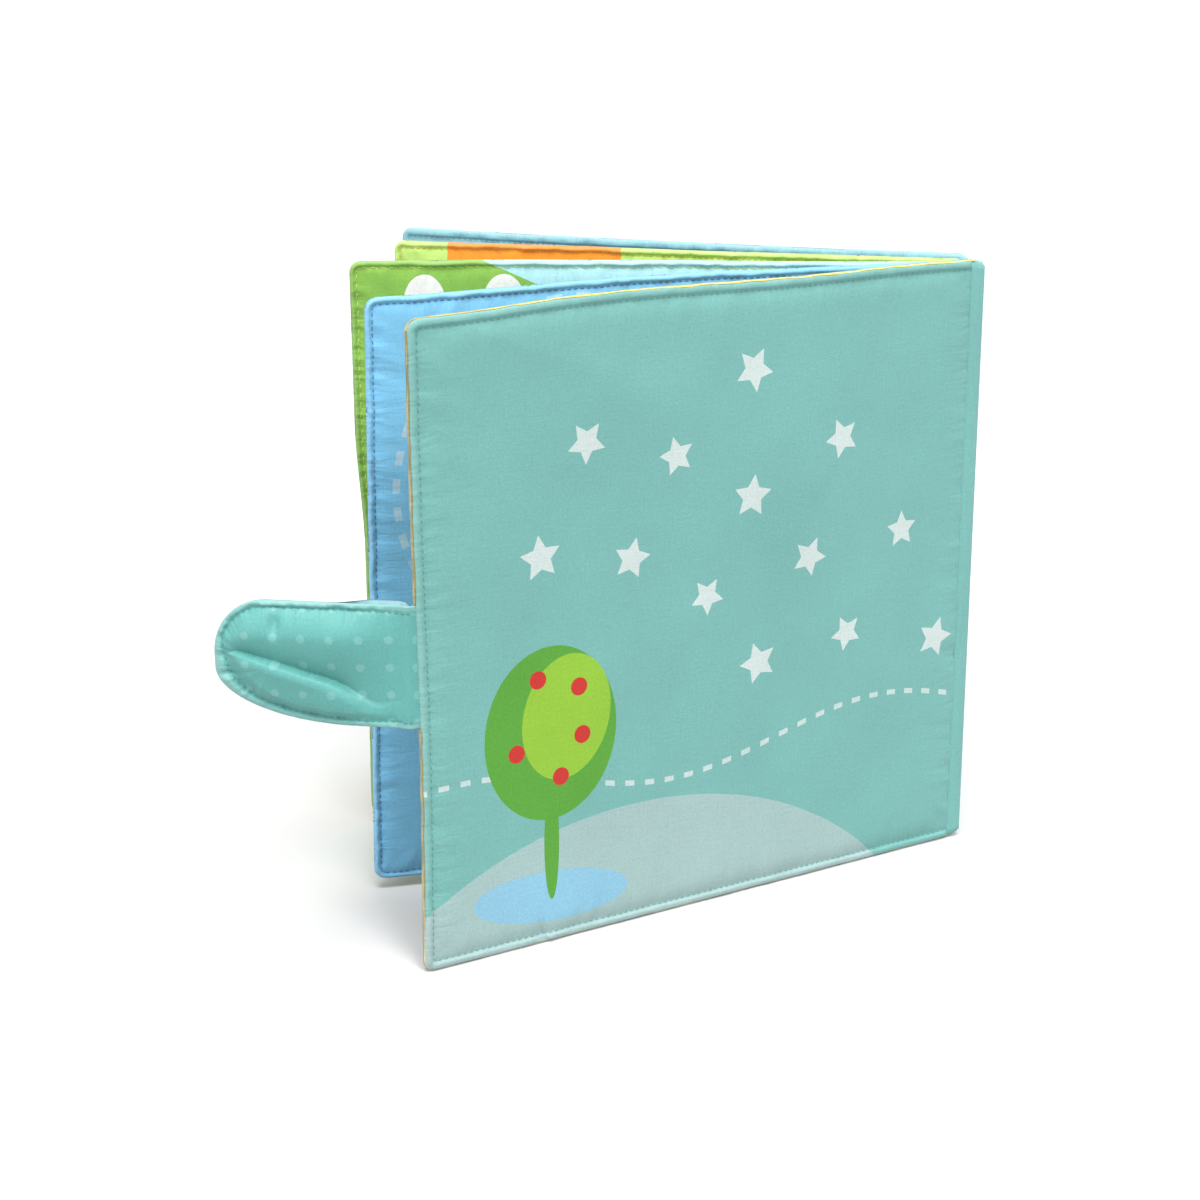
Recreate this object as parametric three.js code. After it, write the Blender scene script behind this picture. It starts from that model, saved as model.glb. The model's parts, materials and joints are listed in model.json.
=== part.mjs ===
// Fabric photo album: a cloth book for a small child, standing fanned open on the lower edges of its covers.
// Two padded covers and three padded leaves turn on the folds of a cloth spine, and a closing strap is sewn
// into the fore-edge of the back cover. Clear pockets on the far side of each page take the photographs.
// Millimetres, +Z up. The origin is the middle of the spine's foot. The middle leaf runs from it along -X,
// and the back cover, nearest to the viewer, swings towards -Y.
import * as THREE from 'three';

// Covers and leaves, from spine edge to fore-edge and from foot to head
const COVER_WIDTH = 186;
const COVER_HEIGHT = 180;
const LEAF_WIDTH = 180;
const LEAF_HEIGHT = 174;
const CORNER_RADIUS = 3.5;
const CORNER_STEPS = 4;

// Thickness of the materials, and the gap between pieces that touch
const CLOTH = 0.45;
const WADDING = 1.4;
const CROWN = 0.2;
const FILM = 0.25;
const BINDING = 0.6;
const SEAT_GAP = 0.3;

// Sewn edge of a panel, measured in from its outline: a rolled rim, then the groove of the topstitching
const ROLL_FILL = 0.75;
const ROLL_RISE = 0.7;
const STITCH_INSET = 2.8;
const STITCH_RUN = 0.8;
const FIELD_INSET = 6;
const CROWN_INSET = 40;

// Photo pocket: a clear window, open towards the fore-edge, where a cloth binding edges it
const POCKET_WIDTH = 130;
const POCKET_HEIGHT = 96;
const POCKET_CORNER = 3;
const POCKET_BINDING_WIDTH = 8;

// Spine cloth, one strip for each panel, and the room that two closed panels keep between them
const SPINE_CLOTH = 1;
const CLOSED_GAP = 0.15;

// Closing strap, from the fore-edge of the back cover to its round tip
const STRAP_LENGTH = 53.5;
const STRAP_WIDTH = 34;
const STRAP_TIP_RADIUS = 15;
const STRAP_LOWER_RUN = 38;
const STRAP_STEPS = 3;
const STRAP_TIP_STEPS = 7;
const STRAP_INTERLINING = 0.8;
const STRAP_STANDOFF = 0.65;
const STRAP_ROOT_SLOPE = 1.95;
const STRAP_AXIS_DEPTH = 1.35;
const STRAP_STITCH_INSET = 3.2;
const STRAP_FIELD_INSET = 5.2;
const STRAP_CROWN = 0.45;
const STRAP_CROWN_INSET = 9;

// Diagonal crease across the strap: how far it sinks, how far the cloth above it is raised, and where it runs
const CREASE_DEPTH = 0.35;
const CREASE_RIDGE = 0.4;
const CREASE_RIDGE_WIDTH = 7;
const CREASE_AT_ROOT = -12;
const CREASE_AT_TIP = 0;

// Hook-and-loop closure
const PATCH_LENGTH = 14;
const PATCH_WIDTH = 15;
const PATCH_CORNER = 2;
const PATCH_EDGE = 8.5;
const LOOP_PATCH = 1;
const HOOK_PATCH = 0.9;

// How far each hinge stands open in the fan, and how far the strap turns to close the album, in degrees
const LEAF_1_OPEN = 15;
const BACK_COVER_OPEN = 17;
const LEAF_3_OPEN = 15;
const FRONT_COVER_OPEN = 4.4;
const STRAP_TURNED_IN = 40;
const STRAP_CLOSED_TURN = 80;
const STRAP_CLOSED_FOLD = 100;

// Heights over the middle of a panel, and the pitch that the spine needs to let the panels close flat
const SEAM_HEIGHT = SEAT_GAP / 2;
const FIELD_HEIGHT = WADDING / 2 + SEAT_GAP;
const CROWN_HEIGHT = (WADDING + CROWN) / 2 + SEAT_GAP;
const PANEL_HALF = CROWN_HEIGHT + CLOTH;
const POCKET_RISE = SEAT_GAP + Math.max(FILM, BINDING);
const SPINE_PITCH = 2 * PANEL_HALF + POCKET_RISE + CLOSED_GAP;
const HINGE_X = SPINE_CLOTH / 2;
const PANEL_START = SPINE_CLOTH / 2 + SEAT_GAP;
const LEAF_FOOT = (COVER_HEIGHT - LEAF_HEIGHT) / 2;

// Depths inside the strap, from the outer side where it folds, and the place of its fold when it is closed
const STRAP_FIELD = STRAP_INTERLINING / 2 + SEAT_GAP;
const STRAP_LINING_DEPTH = STRAP_AXIS_DEPTH + STRAP_FIELD + CLOTH;
const STRAP_CLOSED_SPAN = 4 * SPINE_PITCH + STRAP_AXIS_DEPTH + PANEL_HALF
  + SEAT_GAP + LOOP_PATCH + SEAT_GAP + HOOK_PATCH + SEAT_GAP + STRAP_LINING_DEPTH;
const STRAP_CLOSED_ANGLE = THREE.MathUtils.degToRad(STRAP_CLOSED_TURN);
const STRAP_FOLD_AT = STRAP_CLOSED_SPAN / Math.sin(STRAP_CLOSED_ANGLE);
const STRAP_TIP_LENGTH = STRAP_LENGTH - STRAP_FOLD_AT;
const STRAP_ROOT_X = -PANEL_START - COVER_WIDTH - STRAP_STANDOFF;
const STRAP_CLOSED_FOLD_X = STRAP_ROOT_X - STRAP_FOLD_AT * Math.cos(STRAP_CLOSED_ANGLE);
const FOLD_SLOPE = Math.tan(THREE.MathUtils.degToRad(STRAP_CLOSED_FOLD / 2));

// Cloth, film and closure colours
const clothOf = (color) => new THREE.MeshStandardMaterial({ color, roughness: 0.9, metalness: 0 });
const COLOURS = {
  teal: clothOf(0x8cc8c1),
  yellow: clothOf(0xe3c27c),
  blue: clothOf(0x76b4e4),
  green: clothOf(0x86c04e),
  sky: clothOf(0xa8dfe6),
  lime: clothOf(0xbfe06a),
  wadding: clothOf(0xf4f2ec),
  interlining: clothOf(0xe9e6dc),
  patch: clothOf(0xdfe8e4),
  film: new THREE.MeshStandardMaterial({
    color: 0xeaf2f4, roughness: 0.15, metalness: 0, transparent: true, opacity: 0.35,
  }),
};

function geometryOf(points, triangles) {
  const geometry = new THREE.BufferGeometry().setFromPoints(points);
  geometry.setIndex(triangles.flat());
  geometry.computeVertexNormals();
  return geometry;
}

// Corner points of a rounded rectangle in the plane of a panel, drawn in by an inset on all sides.
// u runs from the spine edge to the fore-edge and z from foot to head, counter-clockwise seen from +Y.
function roundedRing(width, height, corner, inset) {
  const radius = Math.max(corner - inset, corner / 8);
  const ring = [];
  const centres = [[1, 1], [0, 1], [0, 0], [1, 0]];
  centres.forEach(([far, high], quarter) => {
    const u = far ? width - inset - radius : inset + radius;
    const z = high ? height - inset - radius : inset + radius;
    for (let step = 0; step <= CORNER_STEPS; step += 1) {
      const angle = (quarter + step / CORNER_STEPS) * Math.PI / 2;
      ring.push([u + radius * Math.cos(angle), z + radius * Math.sin(angle)]);
    }
  });
  return ring;
}

// Closed solid between an inner and an outer surface, both made of the same rings around one centre.
// Each station gives a ring's inset and its two heights; side is +1 where the outer surface faces +Y.
function ringSolid(width, height, corner, stations, side) {
  const rings = stations.map(({ inset }) => roundedRing(width, height, corner, inset));
  const count = rings[0].length;
  const last = stations.length - 1;
  const surface = (heightName) => {
    const points = rings.flatMap((ring, row) => ring.map(([u, z]) => (
      new THREE.Vector3(-u, side * stations[row][heightName], z))));
    points.push(new THREE.Vector3(-width / 2, side * stations[last][heightName], height / 2));
    return points;
  };
  const outer = surface('outer');
  const half = outer.length;
  const triangles = [];
  const add = (a, b, c) => triangles.push(side > 0 ? [a, b, c] : [a, c, b]);
  const addBoth = (a, b, c) => {
    add(a, b, c);
    add(half + a, half + c, half + b);
  };
  for (let column = 0; column < count; column += 1) {
    const next = (column + 1) % count;
    for (let row = 0; row < last; row += 1) {
      const here = row * count;
      addBoth(here + column, here + next, here + count + next);
      addBoth(here + column, here + count + next, here + count + column);
    }
    addBoth(last * count + column, last * count + next, half - 1);
    add(column, half + column, half + next);
    add(column, half + next, next);
  }
  return geometryOf([...outer, ...surface('inner')], triangles);
}

// Closed solid between two grids of points with the same rows and columns.
// Rows run along u and columns up z; side is +1 where the outer grid faces +Y.
function gridSolid(outer, inner, side) {
  const rows = outer.length;
  const columns = outer[0].length;
  const half = rows * columns;
  const at = (row, column) => row * columns + column;
  const triangles = [];
  const add = (a, b, c) => triangles.push(side > 0 ? [a, b, c] : [a, c, b]);
  const addBoth = (a, b, c) => {
    add(a, b, c);
    add(half + a, half + c, half + b);
  };
  for (let row = 0; row + 1 < rows; row += 1) {
    for (let column = 0; column + 1 < columns; column += 1) {
      addBoth(at(row, column), at(row + 1, column), at(row + 1, column + 1));
      addBoth(at(row, column), at(row + 1, column + 1), at(row, column + 1));
    }
  }
  const rim = [];
  for (let row = 0; row < rows - 1; row += 1) rim.push(at(row, 0));
  for (let column = 0; column < columns - 1; column += 1) rim.push(at(rows - 1, column));
  for (let row = rows - 1; row > 0; row -= 1) rim.push(at(row, columns - 1));
  for (let column = columns - 1; column > 0; column -= 1) rim.push(at(0, column));
  rim.forEach((here, index) => {
    const next = rim[(index + 1) % rim.length];
    add(here, half + here, half + next);
    add(here, half + next, next);
  });
  return geometryOf([...outer.flat(), ...inner.flat()], triangles);
}

function addMesh(group, name, geometry, material, position = [0, 0, 0]) {
  const mesh = new THREE.Mesh(geometry, material);
  mesh.name = name;
  mesh.position.set(...position);
  group.add(mesh);
}

function addHinge(group, x, y, degrees) {
  const hinge = new THREE.Group();
  hinge.position.set(x, y, 0);
  hinge.rotation.z = THREE.MathUtils.degToRad(degrees);
  group.add(hinge);
  return hinge;
}

// One cloth face of a padded panel: seam at the rim, rolled edge, stitched groove, then the crowned field
function panelCloth(width, height, side) {
  const profile = [
    [0, SEAM_HEIGHT],
    [ROLL_RISE, ROLL_FILL],
    [STITCH_INSET - STITCH_RUN, ROLL_FILL],
    [STITCH_INSET, SEAM_HEIGHT],
    [FIELD_INSET, FIELD_HEIGHT],
    [CROWN_INSET, CROWN_HEIGHT],
  ];
  const stations = profile.map(([inset, inner]) => ({ inset, inner, outer: inner + CLOTH }));
  return ringSolid(width, height, CORNER_RADIUS, stations, side);
}

function panelWadding(width, height) {
  const stations = [
    { inset: FIELD_INSET, inner: -WADDING / 2, outer: WADDING / 2 },
    { inset: CROWN_INSET, inner: -(WADDING + CROWN) / 2, outer: (WADDING + CROWN) / 2 },
  ];
  return ringSolid(width, height, CORNER_RADIUS, stations, 1);
}

function flatPlate(width, height, corner, thickness) {
  return ringSolid(width, height, corner, [{ inset: 0, inner: 0, outer: thickness }], 1);
}

// A cover or leaf: two cloth faces over wadding, and its strip of the spine
function addPanel(group, name, width, height, foot, near, far) {
  const seat = [-PANEL_START, 0, foot];
  addMesh(group, `${name}_${near.part}`, panelCloth(width, height, -1), near.material, seat);
  addMesh(group, `${name}_wadding`, panelWadding(width, height), COLOURS.wadding, seat);
  addMesh(group, `${name}_${far.part}`, panelCloth(width, height, 1), far.material, seat);
  const strip = new THREE.BoxGeometry(SPINE_CLOTH, SPINE_PITCH - SEAT_GAP, COVER_HEIGHT);
  addMesh(group, `${name}_spine_strip`, strip, COLOURS.teal, [0, 0, COVER_HEIGHT / 2]);
}

// A clear window on the far face of a panel, with the cloth binding of its mouth beside it
function addPocket(group, name, width, bindingMaterial) {
  const across = POCKET_WIDTH + SEAT_GAP + POCKET_BINDING_WIDTH;
  const start = -PANEL_START - (width - across) / 2;
  const rise = PANEL_HALF + SEAT_GAP;
  const low = (COVER_HEIGHT - POCKET_HEIGHT) / 2;
  const film = flatPlate(POCKET_WIDTH, POCKET_HEIGHT, POCKET_CORNER, FILM);
  addMesh(group, `${name}_pocket_film`, film, COLOURS.film, [start, rise, low]);
  const binding = flatPlate(POCKET_BINDING_WIDTH, POCKET_HEIGHT, POCKET_CORNER, BINDING);
  const mouth = start - POCKET_WIDTH - SEAT_GAP;
  addMesh(group, `${name}_pocket_binding`, binding, bindingMaterial, [mouth, rise, low]);
}

// Height of the strap's cloth over its middle, from the distance to the sewn outline
function strapHeight(distance) {
  const stitchEnd = STRAP_STITCH_INSET - STITCH_RUN;
  if (distance < ROLL_RISE) {
    return THREE.MathUtils.mapLinear(distance, 0, ROLL_RISE, SEAM_HEIGHT, STRAP_FIELD);
  }
  if (distance < stitchEnd) return STRAP_FIELD;
  if (distance < STRAP_STITCH_INSET) {
    return THREE.MathUtils.mapLinear(distance, stitchEnd, STRAP_STITCH_INSET, STRAP_FIELD, SEAM_HEIGHT);
  }
  if (distance < STRAP_FIELD_INSET) {
    const along = [STRAP_STITCH_INSET, STRAP_FIELD_INSET, SEAM_HEIGHT, STRAP_FIELD];
    return THREE.MathUtils.mapLinear(distance, ...along);
  }
  return STRAP_FIELD;
}

// Crown and diagonal crease that the outer cloth of the strap adds, at a place along and across it
function strapForm(along, across, distance) {
  const grown = THREE.MathUtils.smoothstep(distance, STRAP_FIELD_INSET, STRAP_CROWN_INSET);
  const past = across - creaseAt(along);
  const sink = Math.max(0, 1 - Math.abs(past) / STITCH_RUN) * CREASE_DEPTH;
  const inRidge = past > 0 && past < CREASE_RIDGE_WIDTH;
  const ridge = inRidge ? Math.sin(past / CREASE_RIDGE_WIDTH * Math.PI) * CREASE_RIDGE : 0;
  return grown * (STRAP_CROWN + ridge - sink);
}

function creaseAt(along) {
  return THREE.MathUtils.mapLinear(along, 0, STRAP_LENGTH, CREASE_AT_ROOT, CREASE_AT_TIP);
}

// Length over which the strap rounds off to its tip: short above, long below, and blended across the middle
function roundingRun(across) {
  const upper = THREE.MathUtils.smoothstep(across, -STRAP_TIP_RADIUS / 2, STRAP_TIP_RADIUS / 2);
  return THREE.MathUtils.lerp(STRAP_LOWER_RUN, STRAP_TIP_RADIUS, upper);
}

// Width of the strap on one side of its middle line, +1 above and -1 below, at a place along it,
// to its sewn outline or to a line drawn in from that by an inset
function strapHalfWidth(along, side, inset = 0) {
  const run = roundingRun(side * STRAP_WIDTH / 2);
  const round = Math.max(0, along - STRAP_LENGTH + run) / run;
  const kept = 1 - inset / STRAP_TIP_RADIUS;
  const bow = Math.sqrt(Math.max(0, kept ** 2 - round ** 2));
  return STRAP_WIDTH / 2 - STRAP_TIP_RADIUS + STRAP_TIP_RADIUS * bow;
}

// Distance from a point of the strap to the sewn outline
function distanceToOutline(along, across) {
  const run = roundingRun(across);
  const round = Math.max(0, along - STRAP_LENGTH + run) / run;
  const past = Math.max(0, Math.abs(across) - STRAP_WIDTH / 2 + STRAP_TIP_RADIUS) / STRAP_TIP_RADIUS;
  return STRAP_TIP_RADIUS * (1 - Math.hypot(round, past));
}

// Places across the strap, from one edge over the crease to the other, close together at the sewn edges
function strapColumns(along) {
  const insets = [
    0, ROLL_RISE, STRAP_STITCH_INSET - STITCH_RUN, STRAP_STITCH_INSET, STRAP_FIELD_INSET, STRAP_CROWN_INSET,
  ];
  const shareOf = (side) => strapHalfWidth(along, side) / (STRAP_WIDTH / 2);
  const edge = (side) => insets.map((inset) => side * (STRAP_WIDTH / 2 - inset) * shareOf(side));
  const crease = creaseAt(along);
  const middle = [-STITCH_RUN, 0, STITCH_RUN, CREASE_RIDGE_WIDTH / 2]
    .map((offset) => (crease + offset) * shareOf(Math.sign(crease + offset)));
  return [...edge(-1), ...middle, ...edge(1)].sort((a, b) => a - b);
}

// Places along one length of the strap: even steps, then even turns round the tip
function strapRows(start, end) {
  const roundStart = Math.min(end, STRAP_LENGTH - STRAP_TIP_RADIUS);
  const rows = [];
  for (let step = 0; step < STRAP_STEPS; step += 1) {
    rows.push(THREE.MathUtils.lerp(start, roundStart, step / STRAP_STEPS));
  }
  if (end === roundStart) return [...rows, end];
  for (let step = 0; step <= STRAP_TIP_STEPS; step += 1) {
    rows.push(THREE.MathUtils.lerp(roundStart, end, Math.sin(step / STRAP_TIP_STEPS * Math.PI / 2)));
  }
  return rows;
}

// One cloth of the strap over a length of it. Its ends are mitred so that the strap can close, and more steeply
// at the root, where the cover that it turns on has no mitre of its own.
function strapCloth(start, end, side) {
  const startSlope = start > 0 ? FOLD_SLOPE : STRAP_ROOT_SLOPE;
  const surface = (lift) => strapRows(start, end).map((along) => strapColumns(along).map((across) => {
    const distance = Math.max(0, distanceToOutline(along, across));
    const form = side < 0 ? strapForm(along, across, distance) : 0;
    const depth = STRAP_AXIS_DEPTH + side * (strapHeight(distance) + form + lift);
    const first = start + SEAT_GAP / 2 + startSlope * Math.abs(depth);
    const last = end < STRAP_LENGTH ? end - SEAT_GAP / 2 - FOLD_SLOPE * Math.abs(depth) : end;
    const place = THREE.MathUtils.clamp(along, first, last);
    return new THREE.Vector3(-place, depth, across);
  }));
  return gridSolid(surface(CLOTH), surface(0), side);
}

// Stiffening between the two cloths, held inside the stitching and clear of the folds
function strapInterlining(start, end) {
  const inset = STRAP_FIELD_INSET;
  const startSlope = start > 0 ? FOLD_SLOPE : STRAP_ROOT_SLOPE;
  const deep = STRAP_AXIS_DEPTH + STRAP_INTERLINING / 2;
  const low = start + SEAT_GAP + startSlope * deep;
  const tipRoom = inset * STRAP_LOWER_RUN / STRAP_TIP_RADIUS;
  const high = end < STRAP_LENGTH ? end - SEAT_GAP - FOLD_SLOPE * deep : end - tipRoom;
  const rows = strapRows(low, high);
  const below = rows.map((along) => new THREE.Vector2(along, -strapHalfWidth(along, -1, inset)));
  const above = rows.map((along) => new THREE.Vector2(along, strapHalfWidth(along, 1, inset)));
  const shape = new THREE.Shape([...below, ...above.reverse()]);
  const geometry = new THREE.ExtrudeGeometry(shape, { depth: STRAP_INTERLINING, bevelEnabled: false });
  geometry.rotateX(Math.PI / 2);
  geometry.rotateZ(Math.PI);
  geometry.translate(0, STRAP_AXIS_DEPTH - STRAP_INTERLINING / 2, 0);
  return geometry;
}

function addStrapLength(group, name, start, end) {
  const seat = [start, 0, COVER_HEIGHT / 2];
  addMesh(group, `${name}_outer_cloth`, strapCloth(start, end, -1), COLOURS.teal, seat);
  addMesh(group, `${name}_interlining`, strapInterlining(start, end), COLOURS.interlining, seat);
  addMesh(group, `${name}_lining`, strapCloth(start, end, 1), COLOURS.teal, seat);
}

const album = new THREE.Group();
const cloth = (part, colour) => ({ part, material: COLOURS[colour] });

// Middle leaf: the others turn on it
const leaf2 = new THREE.Group();
album.add(leaf2);
addPanel(leaf2, 'leaf_2', LEAF_WIDTH, LEAF_HEIGHT, LEAF_FOOT,
  cloth('near_cloth', 'green'), cloth('far_cloth', 'lime'));
addPocket(leaf2, 'leaf_2', LEAF_WIDTH, COLOURS.green);

// A panel on its hinge: the hinge lies on the outer side of the spine, where two strips meet
function hingedPanel(parent, x, y, degrees) {
  const hinge = addHinge(parent, x, y, degrees);
  const panel = new THREE.Group();
  panel.position.set(-HINGE_X, Math.sign(y) * SPINE_PITCH / 2, 0);
  hinge.add(panel);
  return { hinge, panel };
}

// Near side: first leaf, then the back cover
const leaf1 = hingedPanel(album, HINGE_X, -SPINE_PITCH / 2, LEAF_1_OPEN);
addPanel(leaf1.panel, 'leaf_1', LEAF_WIDTH, LEAF_HEIGHT, LEAF_FOOT,
  cloth('near_cloth', 'blue'), cloth('far_cloth', 'sky'));
addPocket(leaf1.panel, 'leaf_1', LEAF_WIDTH, COLOURS.blue);
const backCover = hingedPanel(leaf1.hinge, 0, -SPINE_PITCH, BACK_COVER_OPEN);
addPanel(backCover.panel, 'back_cover', COVER_WIDTH, COVER_HEIGHT, 0,
  cloth('outer_cloth', 'teal'), cloth('lining', 'yellow'));
addPocket(backCover.panel, 'back_cover', COVER_WIDTH, COLOURS.teal);

// Far side: third leaf, then the front cover with the soft half of the closure
const leaf3 = hingedPanel(album, HINGE_X, SPINE_PITCH / 2, -LEAF_3_OPEN);
addPanel(leaf3.panel, 'leaf_3', LEAF_WIDTH, LEAF_HEIGHT, LEAF_FOOT,
  cloth('near_cloth', 'lime'), cloth('far_cloth', 'sky'));
addPocket(leaf3.panel, 'leaf_3', LEAF_WIDTH, COLOURS.lime);
const frontCover = hingedPanel(leaf3.hinge, 0, SPINE_PITCH, -FRONT_COVER_OPEN);
addPanel(frontCover.panel, 'front_cover', COVER_WIDTH, COVER_HEIGHT, 0,
  cloth('lining', 'sky'), cloth('outer_cloth', 'teal'));
const patchLow = (COVER_HEIGHT - PATCH_WIDTH) / 2;
const loopStart = STRAP_CLOSED_FOLD_X + STRAP_TIP_LENGTH - PATCH_EDGE;
addMesh(frontCover.panel, 'front_cover_loop_patch',
  flatPlate(PATCH_LENGTH, PATCH_WIDTH, PATCH_CORNER, LOOP_PATCH), COLOURS.patch,
  [loopStart, PANEL_HALF + SEAT_GAP, patchLow]);

// Closing strap: it turns where it is sewn in, and folds once more to lie on the front cover
const strapRoot = addHinge(backCover.panel, STRAP_ROOT_X, -STRAP_AXIS_DEPTH, -STRAP_TURNED_IN);
addStrapLength(strapRoot, 'strap_base', 0, STRAP_FOLD_AT);
const strapFold = addHinge(strapRoot, -STRAP_FOLD_AT, 0, 0);
addStrapLength(strapFold, 'strap_tip', STRAP_FOLD_AT, STRAP_LENGTH);
addMesh(strapFold, 'strap_hook_patch',
  flatPlate(PATCH_LENGTH, PATCH_WIDTH, PATCH_CORNER, HOOK_PATCH), COLOURS.patch,
  [PATCH_EDGE + PATCH_LENGTH - STRAP_TIP_LENGTH, STRAP_LINING_DEPTH + SEAT_GAP, patchLow]);

export default album;
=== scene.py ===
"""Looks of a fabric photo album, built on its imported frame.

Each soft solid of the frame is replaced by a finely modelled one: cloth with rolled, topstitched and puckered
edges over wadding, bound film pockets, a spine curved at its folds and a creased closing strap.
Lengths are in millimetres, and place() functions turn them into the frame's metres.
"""

import json
import math
from functools import partialmethod

import bpy
import numpy as np
from mathutils import Matrix, Vector


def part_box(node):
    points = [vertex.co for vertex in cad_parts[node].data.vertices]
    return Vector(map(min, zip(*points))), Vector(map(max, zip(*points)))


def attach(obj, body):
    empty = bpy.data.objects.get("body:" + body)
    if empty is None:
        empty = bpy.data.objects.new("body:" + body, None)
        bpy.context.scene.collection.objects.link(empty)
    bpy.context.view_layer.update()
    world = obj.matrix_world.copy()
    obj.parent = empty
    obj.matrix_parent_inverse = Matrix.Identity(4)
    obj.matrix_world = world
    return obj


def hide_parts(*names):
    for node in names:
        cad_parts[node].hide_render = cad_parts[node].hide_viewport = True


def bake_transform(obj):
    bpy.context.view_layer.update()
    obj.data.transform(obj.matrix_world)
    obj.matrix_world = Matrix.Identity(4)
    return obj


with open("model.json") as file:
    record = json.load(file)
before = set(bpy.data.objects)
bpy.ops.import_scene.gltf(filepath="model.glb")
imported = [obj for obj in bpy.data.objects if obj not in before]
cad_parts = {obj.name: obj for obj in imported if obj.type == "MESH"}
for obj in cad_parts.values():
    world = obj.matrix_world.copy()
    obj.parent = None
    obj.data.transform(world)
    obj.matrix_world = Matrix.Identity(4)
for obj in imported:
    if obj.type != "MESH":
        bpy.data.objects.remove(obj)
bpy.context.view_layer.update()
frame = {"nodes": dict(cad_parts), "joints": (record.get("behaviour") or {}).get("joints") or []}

MM = 0.001
random = np.random.default_rng(11)

# Camera of the photograph, in pixels of its square image, millimetres of the frame and degrees
IMAGE_SIDE = 1200
FOCAL_PIXELS = 2270
SENSOR = 36
CAMERA_PLACE = (-97.5, -670.2, 278.3)
CAMERA_AZIMUTH = 1.0
CAMERA_ELEVATION = 16.95
CAMERA_ROLL = -0.17

# Lamps: name, strength, azimuth, elevation and softness in degrees
LAMPS = (
    ("key", 1.35, 28, 42, 20),
    ("top", 2.3, 0, 72, 30),
    ("fill", 0.75, -58, 30, 40),
    ("back_fill", 1.1, 165, 35, 60),
)
WORLD_LIGHT = 0.42
FLOOR_HALF = 40

# Panels: the place of their edge from the spine strip's middle, their outline, and the section of their cloth
PANEL_START = 0.8
CORNER = 3.5
LEAST_CORNER = 1
FIELD_CORNER = 14
FIELD_CORNER_INSETS = (3, 8)
FIELD_CORNER_END = 2
CLOTH = 0.4
SEAM_HEIGHT = 0.12
ROLL_HEIGHT = 1.3
STITCH_HEIGHT = 0.58
FIELD_HEIGHT = 1.4
CROWN_HEIGHT = 1.52
LEAF_STITCH_INSET = 2.0
COVER_STITCH_INSET = 2.9
GROOVE_RUN = 1.1
FIELD_RUN = 4.5
CROWN_INSET = 60
TURN_CAP = 0.45
TURN_CAP_RUN = (2.2, 6)

# The back cover's lining reaches round its rim: the lip's rings, its sink, and how it varies along the head
LINING_LIP = 0.42
LIP_RINGS = (-1, -0.6, -0.3)
LIP_SINK = 0.06
HEAD_LIP_CUT = 0.6
HEAD_LIP_GAIN = 0.4
HEAD_LIP_BAND = (8, 2)
HEAD_LIP_TURN = (0.6, 0.95)
LIP_SHOWN = 0.7
LIP_RAGGED = 0.3
LIP_FADE = 1
LEAST_RING_GAP = 0.1

# Points round a panel, and its rings of points from the rim to the middle: each row halves the points
EDGE_POINTS = 1024
OUTER_RINGS = (
    (0, 0.15, 0.4, 0.75, 1.15, 1.4, 1.65, 1.9, 2.15, 2.4, 2.65, 2.9, 3.3, 3.8, 4.5, 5.5, 7, 8.6),
    (10.6, 13, 16),
    (20, 25, 31, 38, 46),
    (55, 62, 70),
    (78,),
)
INNER_RINGS = ((0,), (1.2,), (2.7, 5.6, 9, 14), (22, 36, 52), (70,))
WADDING_POINTS = 192
WADDING_RINGS = ((6.4, 7.4, 9, 14), (24, 40, 60), (78,))
WADDING_GAP = 0.2
WADDING_LEAST = 0.04

# Stitches, and a stitch's form: place along it, lift and thickness
STITCH_PITCH = 1.9
STITCH_LENGTH = 1.35
CHAIN = {"pitch": 2.7, "length": 2.6, "slant": 0.5}
THREAD = 0.13
STITCH_SIDES = 6
STITCH_FORM = ((0.0, -0.2, 0.5), (0.14, 0.08, 1), (0.5, 0.16, 1.1), (0.86, 0.08, 1), (1.0, -0.2, 0.5))

# Puckers that the stitching draws into the cloth: their pitch, height and how far in from it they reach
ROLL_MIDDLE = 0.6
ROLL_SPREAD = 0.4
PINCH = 0.34
LEAST_PINCH = 0.2
PINCH_PITCH = 2.6
CORNER_CLEAR = 6
GATHER_REACH = 5
RIM_GATHER = 0.7
EDGE_WAVE = 0.45
EDGE_WAVE_PITCH = 6
EDGE_WAVE_REACH = 3
TIGHT_PITCH = 2.2
TIGHT_HEIGHT = 0.42
TIGHT_REACH = 3.2
LOOSE_PITCH = 4.5
LOOSE_HEIGHT = 0.6
LOOSE_REACH = 9
UNEVEN_PITCH = 40
PUCKER_STRENGTH = 0.75
PUCKER_VARIES = 0.45
PUCKER_RISE = 1
PUCKER_SKEW = 0.25
PLEAT_AT = 146
PLEAT_SLANT = 0.35
PLEAT_HEIGHT = 0.6
PLEAT_REACH = 7
PLEAT_RIDGE_HALF = 0.8
PLEAT_FURROW = (1.8, 0.9)
PLEAT_FURROW_DEPTH = 0.7
PLEAT_INSETS = (0.3, 1.2)
SWELL_CELL = 40
SWELL_DEPTH = 0.35
SWELL_INSETS = (8, 22)
SWELL_START = 200

# Photo pockets
FILM = 0.25
FILM_THICK = 0.2
FILM_RIPPLE = 0.06
FILM_RIPPLE_CELL = 26
FILM_RIPPLE_INSETS = (3, 10)
FILM_EDGE = (-0.4, 0.4)
POCKET_CORNER = 3
POCKET_STITCH_INSET = 2
TAPE_ROUND = 1.4
TAPE_LEAST = 0.02
TAPE_STITCH_INSET = 1.6
TAPE_STITCH_SINK = 0.05
PLATE_RINGS = ((0, 0.12, 0.4, 1, 2, 3.2), (5, 9, 15), (24, 36))
PLATE_POINTS = 256

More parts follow.
